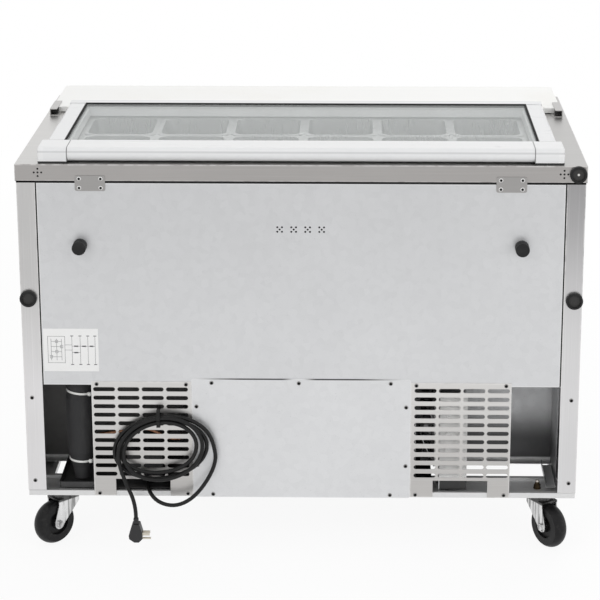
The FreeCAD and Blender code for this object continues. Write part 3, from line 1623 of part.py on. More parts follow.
def coil_path():
    steps = int(coil_turns * 4)
    turns = [i / 4 for i in range(steps + 1)]
    points = [coil_point(t) for t in turns]
    small = 0.0005
    ways = []
    for t in turns:
        a = max(t - small, 0)
        b = min(t + small, coil_turns)
        ways.append((coil_point(b) - coil_point(a)).normalize())
    first = math.radians(coil_tilt)
    last = math.radians(coil_tilt + coil_lean)
    ways[0] = V(math.sin(first), 0, math.cos(first))
    ways[-1] = V(-math.sin(last), 0, -math.cos(last))
    lead_in = points[0] - ways[0] * 2 * cord_radius
    lead_out = points[-1] + ways[-1] * 2 * cord_radius
    edges = [Part.LineSegment(lead_in, points[0]).toShape()]
    for i in range(steps):
        edges += biarc(points[i], ways[i], points[i + 1], ways[i + 1])
    edges.append(Part.LineSegment(points[-1], lead_out).toShape())
    return Part.Wire(edges), lead_in, lead_out, ways[0], ways[-1]


def least_gap(wire, radius):
    """Smallest clear distance between stretches of the tube, from points along its line."""
    count = 500
    points = wire.discretize(count)
    step = wire.Length / (count - 1)
    skip = int(8 * radius / step) + 1
    near = min((points[i] - points[j]).Length for i in range(count) for j in range(i + skip, count))
    return near - 2 * radius


def cord_nodes():
    wire, start, end, rise, down = coil_path()
    radii = [edge.Curve.Radius for edge in wire.Edges if hasattr(edge.Curve, "Radius")]
    print("coil least gap", round(least_gap(wire, cord_radius), 2), "least radius", round(min(radii)))
    coil = tube("cord coil", wire, cord_radius, start, rise)
    g = gland_exit
    lead = [g, g + V(0, 46, 0), g + V(-26, 79, -23), g + V(-72, 84, -31), g + V(-118, 72, -5),
            start - rise * 42, start]
    tail = [end, end + down * 38, g + V(20, 90, -21), g + V(20, 90, -55)]
    print("cord route", [tuple(round(c, 2) for c in p) for p in lead + tail])
    return coil, route_tube("cord lead", lead, cord_radius), route_tube("cord tail", tail, cord_radius), tail[-1]


def cord_plug(top):
    """Moulded right-angle plug hanging on the cord, with two blades and a round earth pin."""
    c = cord_radius
    relief = revolved([(0, 0), (c + 1, 0), (c + 1.6, -4), (c + 1.2, -6), (c + 3, -14), (0, -14)], top, Z_AXIS)
    x, y, z = top.x, top.y, top.z - 12
    outline = [V(x - 8, y, z), V(x + 8, y, z), V(x + 16, y, z - 26), V(x + 15, y, z - 34), V(x + 4, y, z - 42),
               V(x - 6, y, z - 42), V(x - 14, y, z - 34), V(x - 14, y, z - 22)]
    body = prism([p - V(0, 12, 0) for p in outline], V(0, 24, 0))
    upright = [e for e in body.Edges if abs(e.Vertexes[0].Y - e.Vertexes[-1].Y) > 20]
    body = body.makeFillet(3.0, upright)
    plug = body.fuse(relief)
    face = x - 13
    for dy in (-6.35, 6.35):
        plug = plug.fuse(box(face - 17, face + 2, y + dy - 0.75, y + dy + 0.75, z - 27, z - 21))
    plug = plug.fuse(rod(2.4, V(face + 2, y, z - 36), V(face - 19, y, z - 36)))
    return plug.removeSplitter()


def main():
    os.makedirs("parts", exist_ok=True)
    side = side_panel()
    save("side_panel_right", side)
    save("side_panel_left", mirrored(side))
    save("back_panel", back_panel())
    save("insulation_slabs", insulation())
    save("liner_sheets", liner())
    save("top_deck", top_deck())
    save("base_frame", base_frame() + bay_lining())
    save("front_frame", front_frame() + [control_fascia()])
    save("controller", controller())
    for name, x in zip(("set", "up", "down"), button_places):
        save("button_" + name, button(x))
    save("rear_center_panel", rear_center_panel())
    grille = rear_grille()
    save("rear_grille_right", grille)
    save("rear_grille_left", mirrored(grille))
    save("panel_fixings", fixing_plates() + panel_screws())
    save("rear_bumpers", rear_bumpers())
    save("lid_rear_rail", lid_rear_rail())
    save("lid_end_blocks", lid_end_blocks())
    save("lid_rails", lid_rails())
    save("lid_glass", lid_glass())
    save("lid_gasket", lid_gasket())
    save("food_pans", food_pans())
    save("pan_bars", pan_bars())
    save("cutting_board", cutting_board())
    save("board_clips", board_clips())
    skin_right = door_skin()
    core_right = door_core()
    save("door_right_skin", skin_right)
    save("door_left_skin", mirrored(skin_right))
    save("door_right_core", core_right)
    save("door_left_core", [mirrored(shape) for shape in core_right])
    save("hinge_brackets", hinge_brackets())
    save("wire_shelves", wire_shelves())
    save("evaporator_cover", evaporator_cover())
    save("evaporator_coil", evaporator_coil())
    save("evaporator_fan", evaporator_fan())
    save("compressor_tray", compressor_tray())
    save("compressor", compressor())
    save("condenser_coil", condenser_coil())
    save("condenser_shroud", condenser_shroud())
    save("fan_motors", fan_motors())
    save("condenser_fan", condenser_fan())
    save("insulated_pipe", insulated_pipe())
    save("refrigerant_lines", refrigerant_lines())
    save("electrical_box", electrical_box())
    save("condensate_tray", condensate_tray())
    plates = []
    wheel = caster_wheel()
    for name, place in caster_places.items():
        locking = name.startswith("front")
        plates.append(at_caster(caster_plate(), (place[0], place[1], 0)))
        save("caster_" + name + "_fork", at_caster(caster_fork(locking), place))
        save("caster_" + name + "_wheel", [at_caster(piece, place) for piece in wheel])
        if locking:
            save("caster_" + name + "_brake", at_caster(brake_pedal(), place))
    save("caster_plates", plates)
    coil, lead, tail, plug_top = cord_nodes()
    save("cord_coil", coil)
    save("cord_lead", lead)
    save("cord_tail", tail)
    save("cord_plug", cord_plug(plug_top))


main()
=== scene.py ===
import math

import bmesh
import bpy
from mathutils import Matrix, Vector


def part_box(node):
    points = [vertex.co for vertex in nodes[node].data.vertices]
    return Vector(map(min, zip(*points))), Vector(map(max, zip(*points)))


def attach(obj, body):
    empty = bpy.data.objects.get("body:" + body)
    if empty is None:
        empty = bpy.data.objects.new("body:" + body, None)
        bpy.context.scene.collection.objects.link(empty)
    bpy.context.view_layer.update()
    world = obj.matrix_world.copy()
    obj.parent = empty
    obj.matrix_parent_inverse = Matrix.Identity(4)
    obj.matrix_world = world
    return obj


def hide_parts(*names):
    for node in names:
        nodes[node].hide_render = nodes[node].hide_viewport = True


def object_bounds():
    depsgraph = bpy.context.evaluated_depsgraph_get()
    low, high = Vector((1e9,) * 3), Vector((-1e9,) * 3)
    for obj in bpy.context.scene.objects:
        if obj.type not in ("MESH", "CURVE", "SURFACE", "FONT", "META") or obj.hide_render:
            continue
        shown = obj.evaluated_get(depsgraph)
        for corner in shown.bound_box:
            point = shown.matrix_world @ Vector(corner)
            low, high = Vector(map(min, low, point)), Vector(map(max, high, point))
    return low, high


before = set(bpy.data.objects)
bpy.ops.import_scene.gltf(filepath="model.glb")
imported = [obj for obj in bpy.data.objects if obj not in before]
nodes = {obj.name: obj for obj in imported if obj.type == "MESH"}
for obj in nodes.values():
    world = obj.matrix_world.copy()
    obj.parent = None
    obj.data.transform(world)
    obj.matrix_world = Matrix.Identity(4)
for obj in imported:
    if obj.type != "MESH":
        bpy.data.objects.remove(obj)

cad_low, cad_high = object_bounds()
scene = bpy.context.scene
sides = ("right", "left")
casters = ("caster_rear_right", "caster_rear_left", "caster_front_right", "caster_front_left")

# Camera at the photograph's viewing angle: behind the table and above the lid

rear_plane = 0.360
photo_pixels = 600
focal_pixels = 2078.0
sensor_width = 36.0
camera_place = (-0.1163, rear_plane + 4.278, 1.9617)
camera_tilt = 0.2758
camera_yaw = -0.0155
lens_shift_x = -0.04
lens_shift_y = -0.12

camera_data = bpy.data.cameras.new("rear_camera")
camera_data.sensor_width = sensor_width
camera_data.lens = focal_pixels / photo_pixels * sensor_width
camera_data.shift_x = lens_shift_x
camera_data.shift_y = lens_shift_y
camera = bpy.data.objects.new("rear_camera", camera_data)
camera.location = camera_place
looking = Vector((-math.sin(camera_yaw) * math.cos(camera_tilt),
                  -math.cos(camera_yaw) * math.cos(camera_tilt),
                  -math.sin(camera_tilt)))
camera.rotation_euler = looking.to_track_quat("-Z", "Y").to_euler()
scene.collection.objects.link(camera)
scene.camera = camera

# Power cord: out of the wiring box, under the rail, up to the hanging loops and down to the plug

cord_diameter = 0.0088
cord_exit = (0.344, 0.318, 0.153)
plug_top = (0.364, 0.408, 0.098)
lead_route = [cord_exit, (0.344, 0.364, 0.153), (0.318, 0.397, 0.130), (0.272, 0.402, 0.122),
              (0.226, 0.390, 0.148), (0.18546, 0.375, 0.21466)]
tail_route = [(0.38795, 0.386, 0.17301), (0.364, 0.408, 0.132), plug_top]
coil_turns = 3.5
points_per_turn = 16
coil_center = Vector((0.306, 0.375, 0.247))
coil_half_x = 0.114
coil_front_x = 0.100
coil_half_z = 0.080
coil_pitch = 0.010
coil_spread = 0.006
coil_layer = 0.011
coil_crossing = 0.5
coil_tilt = math.radians(9)
coil_lean = math.radians(8)


def coil_point(turn):
    """Loops that run in on one layer and out again on a narrower, leaning one."""
    half = coil_turns / 2
    depth = turn if turn < half else coil_turns - turn
    climb = min(max((turn - half) / coil_crossing + 0.5, 0), 1)
    lift = climb * climb * (3 - 2 * climb)
    angle = 2 * math.pi * turn
    shrink = (coil_pitch + coil_spread * (1 - math.sin(angle)) / 2) * depth
    half_x = coil_half_x + (coil_front_x - coil_half_x) * lift
    across = -(half_x - shrink) * math.cos(angle)
    up = (coil_half_z - shrink) * math.sin(angle)
    lean = coil_tilt + coil_lean * lift
    return coil_center + Vector((across * math.cos(lean) + up * math.sin(lean), coil_layer * lift,
                                 up * math.cos(lean) - across * math.sin(lean)))


def smooth_line(name, points, diameter):
    """A round tube along a smooth curve that the points steer."""
    line = bpy.data.curves.new(name, "CURVE")
    line.dimensions = "3D"
    line.bevel_depth = diameter / 2
    line.bevel_resolution = 5
    line.resolution_u = 6
    line.use_fill_caps = True
    spline = line.splines.new("NURBS")
    spline.points.add(len(points) - 1)
    for place, point in zip(spline.points, points):
        place.co = (*point, 1)
    spline.order_u = 3
    spline.use_endpoint_u = True
    spline.resolution_u = 6
    made = bpy.data.objects.new(name, line)
    scene.collection.objects.link(made)
    return made


coil_steps = int(coil_turns * points_per_turn)
coil_route = [coil_point(step / points_per_turn) for step in range(coil_steps + 1)]
power_cord = smooth_line("power_cord", lead_route + coil_route + tail_route, cord_diameter)

# Shader values as Python expressions


class Reading:
    """A shader socket; operators on it add Math nodes."""

    def __init__(self, maker, socket):
        self.maker = maker
        self.socket = socket

    def sum(self, operation, first, second):
        return self.maker.node("ShaderNodeMath", {"operation": operation}, {0: first, 1: second})

    def __add__(self, other):
        return self.sum("ADD", self, other)

    def __sub__(self, other):
        return self.sum("SUBTRACT", self, other)

    def __rsub__(self, other):
        return self.sum("SUBTRACT", other, self)

    def __mul__(self, other):
        return self.sum("MULTIPLY", self, other)

    def __pow__(self, other):
        return self.sum("POWER", self, other)

    def __rpow__(self, other):
        return self.sum("POWER", other, self)

    def lesser(self, other):
        return self.sum("MINIMUM", self, other)

    def greater(self, other):
        return self.sum("MAXIMUM", self, other)

    def size(self):
        return self.sum("ABSOLUTE", self, 0)

    def rise(self, low, high):
        """0 below low and 1 above high, smooth between; low above high turns it round."""
        return self.maker.node("ShaderNodeMapRange", {"interpolation_type": "SMOOTHSTEP"},
                               {"Value": self, "From Min": low, "From Max": high})

    __radd__ = __add__
    __rmul__ = __mul__


class NodeMaker:
    """Makes and links the nodes of one tree."""

    def __init__(self, tree):
        self.tree = tree

    def node(self, kind, settings=None, inputs=None, output=0):
        made = self.tree.nodes.new(kind)
        for name, value in (settings or {}).items():
            setattr(made, name, value)
        for key, value in (inputs or {}).items():
            self.feed(made.inputs[key], value)
        return Reading(self, made.outputs[output])

    def feed(self, socket, value):
        if isinstance(value, Reading):
            self.tree.links.new(value.socket, socket)
        else:
            socket.default_value = value

    def show_white(self, lit, white, end, share=1.0):
        """White where it is seen, mirrored or seen through glass; as light it stays what it is."""
        rays = self.node("ShaderNodeLightPath").socket.node.outputs
        seen, mirrored, through = (Reading(self, rays[kind]) for kind in
                                   ("Is Camera Ray", "Is Glossy Ray", "Is Transmission Ray"))
        amount = seen.greater(mirrored).greater(through) * share
        mixed = self.node("ShaderNodeMixShader", inputs={0: amount, 1: Reading(self, lit), 2: white})
        self.feed(self.tree.nodes[end].inputs["Surface"], mixed)


class Finish(NodeMaker):
    """One material: a node maker round a Principled surface."""

    def __init__(self, name, colour, roughness, metallic=0.0, **constants):
        self.material = bpy.data.materials.new(name)
        self.material.use_nodes = True
        super().__init__(self.material.node_tree)
        self.surface = self.tree.nodes["Principled BSDF"]
        self.colour = (*colour, 1)
        self.roughness = roughness
        self.heights = []
        self.feed(self.surface.inputs["Base Color"], self.colour)
        self.feed(self.surface.inputs["Roughness"], roughness)
        self.feed(self.surface.inputs["Metallic"], metallic)
        for socket, value in constants.items():
            self.feed(self.surface.inputs[socket.replace("_", " ")], value)
        self.place = self.node("ShaderNodeTexCoord", output="Object")
        split = self.node("ShaderNodeSeparateXYZ", inputs={0: self.place}).socket.node
        self.x, self.y, self.z = (Reading(self, socket) for socket in split.outputs)

    def stretched(self, stretch):
        return self.node("ShaderNodeVectorMath", {"operation": "MULTIPLY"}, {0: self.place, 1: stretch})

    def noise(self, stretch, detail=2.0, roughness=0.5):
        where = self.stretched(stretch if isinstance(stretch, tuple) else (stretch,) * 3)
        return self.node("ShaderNodeTexNoise", inputs={"Vector": where, "Scale": 1.0, "Detail": detail,
                                                       "Roughness": roughness})

    def cells(self, scale, output="Distance"):
        where = self.stretched((scale,) * 3)
        return self.node("ShaderNodeTexVoronoi", inputs={"Vector": where, "Scale": 1.0}, output=output)

    def blend(self, kind, amount, colour):
        self.colour = self.node("ShaderNodeMix", {"data_type": "RGBA", "blend_type": kind},
                                {0: amount, 6: self.colour, 7: colour}, output=2)
        self.feed(self.surface.inputs["Base Color"], self.colour)

    def tint(self, amount, colour):
        """Lays a colour over what the base colour is so far."""
        self.blend("MIX", amount, (*colour, 1))

    def scale_colour(self, factor):
        """Darkens or lightens what the base colour is so far."""
        self.blend("MULTIPLY", 1.0, factor)

    def metal(self, amount):
        self.feed(self.surface.inputs["Metallic"], amount)

    def rough(self, amount):
        self.roughness = self.roughness + amount
        self.feed(self.surface.inputs["Roughness"], self.roughness)

    def relief(self, height, depth):
        """Adds a height, in metres at its full value, to the bump."""
        self.heights.append(height * depth)

    def near_edges(self, node, width):
        """Where two faces of a node's own box meet, within a width."""
        low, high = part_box(node)
        near = []
        for value, start, end in zip((self.x, self.y, self.z), low, high):
            near.append((value - start).lesser(end - value).rise(width, 0.0))
        return (near[0] * near[1]).greater(near[1] * near[2]).greater(near[0] * near[2])

    def done(self):
        if self.heights:
            total = self.heights[0]
            for height in self.heights[1:]:
                total = total + height
            bump = self.node("ShaderNodeBump", inputs={"Height": total, "Distance": 1.0, "Strength": 1.0})
            self.feed(self.surface.inputs["Normal"], bump)
        return self.material


def shade(colour, factor):
    """A darker or lighter colour."""
    return tuple(min(channel * factor, 1.0) for channel in colour)


def dress(material, *names):
    """Gives CAD nodes a material."""
    for name in names:
        piece = nodes[name]
        piece.data.materials.clear()
        piece.data.materials.append(material)


# Sheet metals

along_x = (5.0, 700.0, 700.0)
along_z = (700.0, 700.0, 5.0)
down_pan = (300.0, 300.0, 6.0)
deep_black = (0.006, 0.006, 0.006)
# Colours of the painted highlight along sheet edges
edge_highlight_steel = (0.82, 0.81, 0.80)
edge_highlight_sheet = (0.85, 0.85, 0.85)
steel_edge, sheet_edge = 0.0035, 0.003
rear_face = (rear_plane - 0.003, rear_plane - 0.001)
end_shade_share = 0.84
joint_blur = 0.0002


def brushed_steel(name, colour, grain, edge_node=None, roughness=0.34, back=None, back_top=None,
                  fade=None, joint_from=None, joint_to=None, shaded_end=None):
    """Brushed stainless: fine lines along the grain, slow clouding, a painted highlight along the edges.

    The face at the rear plane can have its own colour, which goes over into another one upward
    (painted light and shade on the side flanges), and a dark joint above or below a height. One end along X
    can be dimmer, as painted shade.
    """
    steel = Finish(name, colour, roughness, 1.0)
    # Painted shade: one end along X is darkened
    if shaded_end:
        steel.tint(steel.x.rise(*shaded_end), shade(colour, end_shade_share))
    back_face = steel.y.rise(*rear_face)
    if back:
        steel.tint(back_face, back)
    # The rear face going over into another colour upward is painted shade on the side flanges
    if back_top:
        steel.tint(back_face * steel.z.rise(*fade), back_top)
    lines = steel.noise(grain, 3.0, 0.6)
    clouds = steel.noise(6.0, 3.0)
    marks = steel.noise(tuple(g * 0.35 for g in grain), 1.0).rise(0.62, 0.74)
    steel.scale_colour(lines * -0.14 + clouds.rise(0.35, 0.75) * 0.04 + marks * 0.05 + 1.0)
    steel.rough(lines * 0.14 + clouds * 0.08 - 0.1)
    if edge_node:
        # Painted highlight: paler along the edges of the node's box, broken up by noise
        rubbed = steel.near_edges(edge_node, steel_edge) * steel.noise(60.0).rise(0.3, 0.6)
        steel.tint(rubbed * 0.6, edge_highlight_steel)
    if joint_from:
        above = steel.z.rise(joint_from - joint_blur, joint_from + joint_blur)
        steel.tint(back_face * above, deep_black)
    if joint_to:
        below = steel.z.rise(joint_to + joint_blur, joint_to - joint_blur)
        steel.tint(back_face * below, deep_black)
    steel.relief(lines, 0.00002)
    return steel.done()


# Painted shade in the bay and on the upper sheet; the bloom patches are the zinc's own
bay_shade_grey = (0.52, 0.525, 0.532)
bay_bloom = (0.68, 0.685, 0.69)
bay_low_shade_grey = (0.10, 0.10, 0.102)
bay_side_shade_grey = (0.115, 0.114, 0.112)
bay_from = 0.146
bay_blur = 0.004
bay_low_shade = (0.28, 0.19)
bay_side_shade = (0.1, 0.3)
sheet_upper_shade = (0.45, 0.86)
seam_height = 0.0026
seam_screw = 0.005
seam_opens = (0.006, 0.04)
seam_closes = (0.24, 0.12)


def galvanised(name, colour, edge_node=None, bay_above=None, seam_from=None):
    """Zinc-coated sheet: faint crystal patches, small pits; darker toward the top, and darker where it lines
    the bay, most of all low down and toward one side, all as painted shade.

    A dark seam along the top can gape between its screws.
    """
    sheet = Finish(name, colour, 0.42, 0.75)
    if bay_above:
        bay = sheet.z.rise(bay_above, bay_above + bay_blur)
        # Painted shade: the bay's walls darker than the rails, darker still low down and toward one side
        sheet.tint(bay, bay_shade_grey)
        sheet.tint(bay * sheet.noise(9.0, 3.0).rise(0.45, 0.7) * 0.4, bay_bloom)
        sheet.tint(bay * sheet.z.rise(*bay_low_shade), bay_low_shade_grey)
        sheet.tint(bay * sheet.x.rise(*bay_side_shade), bay_side_shade_grey)
    # Painted shade: the sheet goes darker toward the top
    sheet.tint(sheet.z.rise(*sheet_upper_shade) * 0.8, shade(colour, 0.88))
    patches = sheet.cells(70.0, "Color")
    grey = sheet.node("ShaderNodeRGBToBW", inputs={0: patches})
    clouds = sheet.noise(4.0, 4.0)
    specks = sheet.noise(420.0).rise(0.66, 0.75)
    sheet.scale_colour(grey * -0.03 + clouds.rise(0.4, 0.7) * 0.03 - specks * 0.14 + 1.0)
    sheet.rough(grey * 0.12 - 0.03)
    if edge_node:
        # Painted highlight: paler along the edges of the node's box
        sheet.tint(sheet.near_edges(edge_node, sheet_edge) * 0.5, edge_highlight_sheet)
    if seam_from:
        from_screw = (sheet.x - seam_screw).size()
        gaping = from_screw.rise(*seam_opens) * from_screw.rise(*seam_closes)
        seam = sheet.z.rise(seam_from - joint_blur, seam_from + joint_blur)
        sheet.tint(seam * gaping * 0.9, deep_black)
    sheet.relief(grey, 0.000015)
    sheet.relief(specks, 0.00005)
    return sheet.done()


deck_grey = (0.66, 0.652, 0.640)
skirt_grey = (0.42, 0.405, 0.395)
# Span along X over which the deck's top darkens as painted shade
deck_shaded_end = (-0.45, -0.57)
skirt_joint = 0.853
side_grey = (0.62, 0.612, 0.605)
# Side flanges: a grey for each side and a darker one toward the top, painted light and shade
flange_grey = {"right": (0.76, 0.75, 0.755), "left": (0.715, 0.71, 0.715)}
flange_top_shade = {"right": (0.574, 0.568, 0.564), "left": (0.34, 0.335, 0.34)}
flange_shade_fade = {"right": (0.36, 0.68), "left": (0.45, 0.92)}
flange_joint = 0.0024
grille_grey = (0.553, 0.540, 0.527)
grille_top_grey = (0.70, 0.69, 0.675)
grille_fade = (0.16, 0.38)
door_grey = (0.56, 0.55, 0.54)
pan_grey = (0.66, 0.66, 0.66)
panel_grey = (0.665, 0.67, 0.68)
lower_grey = (0.70, 0.705, 0.715)
base_grey = (0.72, 0.72, 0.72)
zinc_grey = (0.74, 0.74, 0.74)
liner_grey = (0.74, 0.75, 0.76)

dress(brushed_steel("deck_steel", deck_grey, along_x, "top_deck", back=skirt_grey, joint_to=skirt_joint,
                    shaded_end=deck_shaded_end), "top_deck")
for side in sides:
    panel = "side_panel_" + side
    dress(brushed_steel(panel + "_steel", side_grey, along_z, panel, back=flange_grey[side],
                        back_top=flange_top_shade[side], fade=flange_shade_fade[side],
                        joint_from=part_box(panel)[1][2] - flange_joint), panel)
    grille = "rear_grille_" + side
    dress(brushed_steel(grille + "_steel", grille_grey, along_x, grille, back=grille_grey,
                        back_top=grille_top_grey, fade=grille_fade), grille)
    door = "door_" + side + "_skin"
    dress(brushed_steel(door + "_steel", door_grey, along_z, door), door)
dress(brushed_steel("frame_steel", door_grey, along_x), "front_frame")
dress(brushed_steel("clip_steel", door_grey, along_x), "board_clips")
dress(brushed_steel("pan_steel", pan_grey, down_pan, roughness=0.28), "food_pans", "pan_bars")
dress(galvanised("back_sheet", panel_grey, "back_panel"), "back_panel")
lower_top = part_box("rear_center_panel")[1][2]
dress(galvanised("lower_sheet", lower_grey, "rear_center_panel", seam_from=lower_top - seam_height),
      "rear_center_panel")
dress(galvanised("base_sheet", base_grey, bay_above=bay_from), "base_frame")
dress(galvanised("shroud_sheet", zinc_grey), "condenser_shroud")
dress(galvanised("liner_sheet", liner_grey), "liner_sheets", "evaporator_cover")

# Painted shade on the tops of the casters, under the cabinet
caster_shade = (0.03, 0.03, 0.03)
caster_shade_from = 0.0995
caster_shade_blur = 0.003


def zinc(name, caster_shaded_from=None):
    """Bright zinc plate: soft cloudy sheen, dark and light bands of painted reflection; painted shade above
    a height where asked.
    """
    plate = Finish(name, zinc_grey, 0.24, 1.0)
    clouds = plate.noise(35.0, 4.0, 0.6)
    reflection_streaks = plate.noise((150.0, 150.0, 7.0))
    plate.tint(clouds.rise(0.4, 0.7) * 0.4, shade(zinc_grey, 0.6))
    # Painted reflection: dark and light bands along the plate
    plate.tint(reflection_streaks.rise(0.47, 0.58) * 0.8, shade(zinc_grey, 0.3))
    plate.tint(reflection_streaks.rise(0.42, 0.34) * 0.5, shade(zinc_grey, 1.2))
    if caster_shaded_from:
        # Painted shade: dark above the given height
        plate.tint(plate.z.rise(caster_shaded_from, caster_shaded_from + caster_shade_blur) * 0.9, caster_shade)
    plate.rough(clouds * 0.2 - 0.06)
    plate.relief(clouds, 0.00008)
    return plate.done()


dress(zinc("zinc_plate"), "hinge_brackets", "caster_front_right_brake", "caster_front_left_brake")
dress(zinc("caster_zinc", caster_shade_from), "caster_plates", *(caster + "_fork" for caster in casters))

plates_from = (0.82, 0.83)
flanges_from = (0.58, 0.585)
screw_seat = rear_plane + 0.001
plate_lift = 0.0005
flange_drop = 0.001
head_rise = (0.0002, 0.0005)
rim_highlight_rise = (0.0002, 0.0009)
recess_shade_rise = (0.0016, 0.0019)
recess_shade_lift = 0.0001


def fixing_metal():
    """Flat steel plates and screw heads; the plate screws have a painted highlight on the rim, and each
    crown a dark dot of painted shade where a drive recess would be.
    """
    metal = Finish("fixing_metal", (0.37, 0.362, 0.355), 0.32, 1.0)
    lines = metal.noise(along_x)
    on_plate = metal.z.rise(*plates_from)
    on_flange = metal.x.size().rise(*flanges_from)
    height = metal.y - screw_seat - on_plate * plate_lift + on_flange * flange_drop
    metal.tint(lines * 0.4, (0.30, 0.292, 0.288))
    metal.tint(height.rise(*head_rise) * 0.9, (0.34, 0.335, 0.33))
    # Painted highlight: a bright rim on the plate screws
    metal.tint(on_plate * height.rise(*rim_highlight_rise) * 0.9, (0.86, 0.86, 0.85))
    # Painted shade: a dark dot on the crown where a drive recess would be
    metal.tint((height - on_plate * recess_shade_lift).rise(*recess_shade_rise), (0.012, 0.012, 0.012))
    metal.rough(lines * 0.1)
    return metal.done()


dress(fixing_metal(), "panel_fixings")

# Lid and board

lid_pale = (0.75, 0.755, 0.76)
lid_edge = 0.003
side_lap, front_lap = 0.0368, 0.0326
glass_seat = 0.0076
glass_blur = 0.0004
# Height, spread and reach of a painted shade band on the rail's rear face
rail_shade_line = 0.9135
rail_shade_width = (0.0032, 0.0006)
rail_shade_rear = (rear_plane - 0.04, rear_plane - 0.036)
end_joint = (0.0024, 0.0018)
rubber_foot = (0.0042, 0.0036)


def lid_extrusion(name, fixed=False):
    """Pale satin extrusion: faint drawing lines along it, black beside the glass.

    A fixed piece has a dark joint and a rubber foot.
    """
    rail = Finish(name, lid_pale, 0.30, Coat_Weight=0.15)
    lines = rail.noise((4.0, 500.0, 500.0))
    clouds = rail.noise(9.0, 3.0)
    rail.tint(lines.rise(0.45, 0.8) * 0.25, shade(lid_pale, 0.9))
    rail.tint(clouds.rise(0.5, 0.8) * 0.3, shade(lid_pale, 0.93))
    # Painted highlight: paler along the edges of the rail box
    rail.tint(rail.near_edges("lid_rails", lid_edge) * 0.5, (0.80, 0.80, 0.80))
    low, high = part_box("lid_rails")
    glass_side, glass_front = high[0] - side_lap, low[1] + front_lap
    glass_under = high[2] - glass_seat
    beside_glass = (rail.x.size().rise(glass_side, glass_side - glass_blur)
                    * rail.y.rise(glass_front, glass_front + glass_blur)
                    * rail.y.rise(high[1] + glass_blur, high[1])
                    * rail.z.rise(glass_under, glass_under + glass_blur))
    rail.tint(beside_glass, deep_black)
    # Painted shade: a darker band where the rail's top rounds over into its rear face
    drawn = (rail.z - rail_shade_line).size().rise(*rail_shade_width) * rail.y.rise(*rail_shade_rear)
    rail.tint(drawn * 0.8, shade(lid_pale, 0.72))
    if fixed:
        rail_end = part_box("lid_rear_rail")[1][0]
        deck_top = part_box("lid_end_blocks")[0][2]
        joint = rail.x.size().rise(rail_end + end_joint[0], rail_end + end_joint[1])
        foot = rail.z.rise(deck_top + rubber_foot[0], deck_top + rubber_foot[1])
        rail.tint(joint * 0.8, (0.10, 0.10, 0.10))
        rail.tint(foot, deep_black)
    rail.rough(lines * 0.1 + clouds * 0.1 - 0.1)
    rail.relief(lines, 0.000015)
    return rail.done()


dress(lid_extrusion("lid_extrusion"), "lid_rear_rail", "lid_rails")
dress(lid_extrusion("lid_block", fixed=True), "lid_end_blocks")


def clear_glass():
    """Toughened glass with a pale green cast and wiped smears."""
    glass = Finish("clear_glass", (0.80, 0.84, 0.83), 0.04)
    smears = glass.noise((5.0, 60.0, 60.0), 3.0, 0.6).rise(0.45, 0.85)
    glass.feed(glass.surface.inputs["Alpha"], smears * 0.02 + 0.25)
    glass.rough(smears * 0.03)
    return glass.done()


dress(clear_glass(), "lid_glass")


def board_plastic():
    """White polyethylene with knife cuts across it and a faint yellowing."""
    board = Finish("board_plastic", (0.88, 0.88, 0.865), 0.46)
    cuts = board.noise((18.0, 900.0, 20.0), 2.0, 0.7).rise(0.63, 0.69)
    cross = board.noise((900.0, 26.0, 20.0), 2.0, 0.7).rise(0.65, 0.70)
    used = board.noise(5.0, 3.0).rise(0.4, 0.7)
    scored = cuts.greater(cross) * used
    board.tint(used * 0.4, (0.86, 0.85, 0.81))
    board.tint(scored * 0.35, (0.70, 0.69, 0.66))
    board.rough(scored * 0.2)
    board.relief(1 - scored, 0.00012)
    return board.done()


dress(board_plastic(), "cutting_board")

# Rubbers and plastics

soft_black = (0.008, 0.008, 0.0085)


def rubber(name, colour, grain=1500.0, roughness=0.62, shine=0.5):
    """Dull black rubber: fine grain, greyed dust in patches."""
    soft = Finish(name, colour, roughness, Specular_IOR_Level=shine)
    grains = soft.noise(grain)
    dust = soft.noise(28.0, 4.0, 0.6).rise(0.5, 0.78)
    soft.tint(dust * 0.35, tuple(channel * 2.2 + 0.006 for channel in colour))
    soft.rough(grains * 0.15 + dust * 0.1 - 0.1)
    soft.relief(grains, 0.00006)
    return soft.done()


def moulded(name, colour, roughness=0.42):
    """Moulded plastic: spark texture and faint flow marks."""
    plastic = Finish(name, colour, roughness)
    spark = plastic.noise(1100.0)
    flow = plastic.noise(14.0, 3.0)
    plastic.tint(flow.rise(0.4, 0.7) * 0.3, tuple(channel * 1.25 + 0.006 for channel in colour))
    plastic.rough(spark * 0.12 + flow * 0.08 - 0.08)
    plastic.relief(spark, 0.00004)
    return plastic.done()


dress(rubber("gasket_rubber", deep_black, shine=0.1), "lid_gasket")
dress(moulded("fan_plastic", (0.025, 0.025, 0.027)), "evaporator_fan", "electrical_box", "condensate_tray")
cord_sheath = rubber("cord_sheath", deep_black, 900.0, 0.45, 0.3)

corner_pads_from = (0.56, 0.57)
pad_face = (rear_plane + 0.0085, rear_plane + 0.006)
pad_screw_x, pad_screw_z = -0.59, 0.871
pad_screw_square = (0.0000078, 0.0000052)


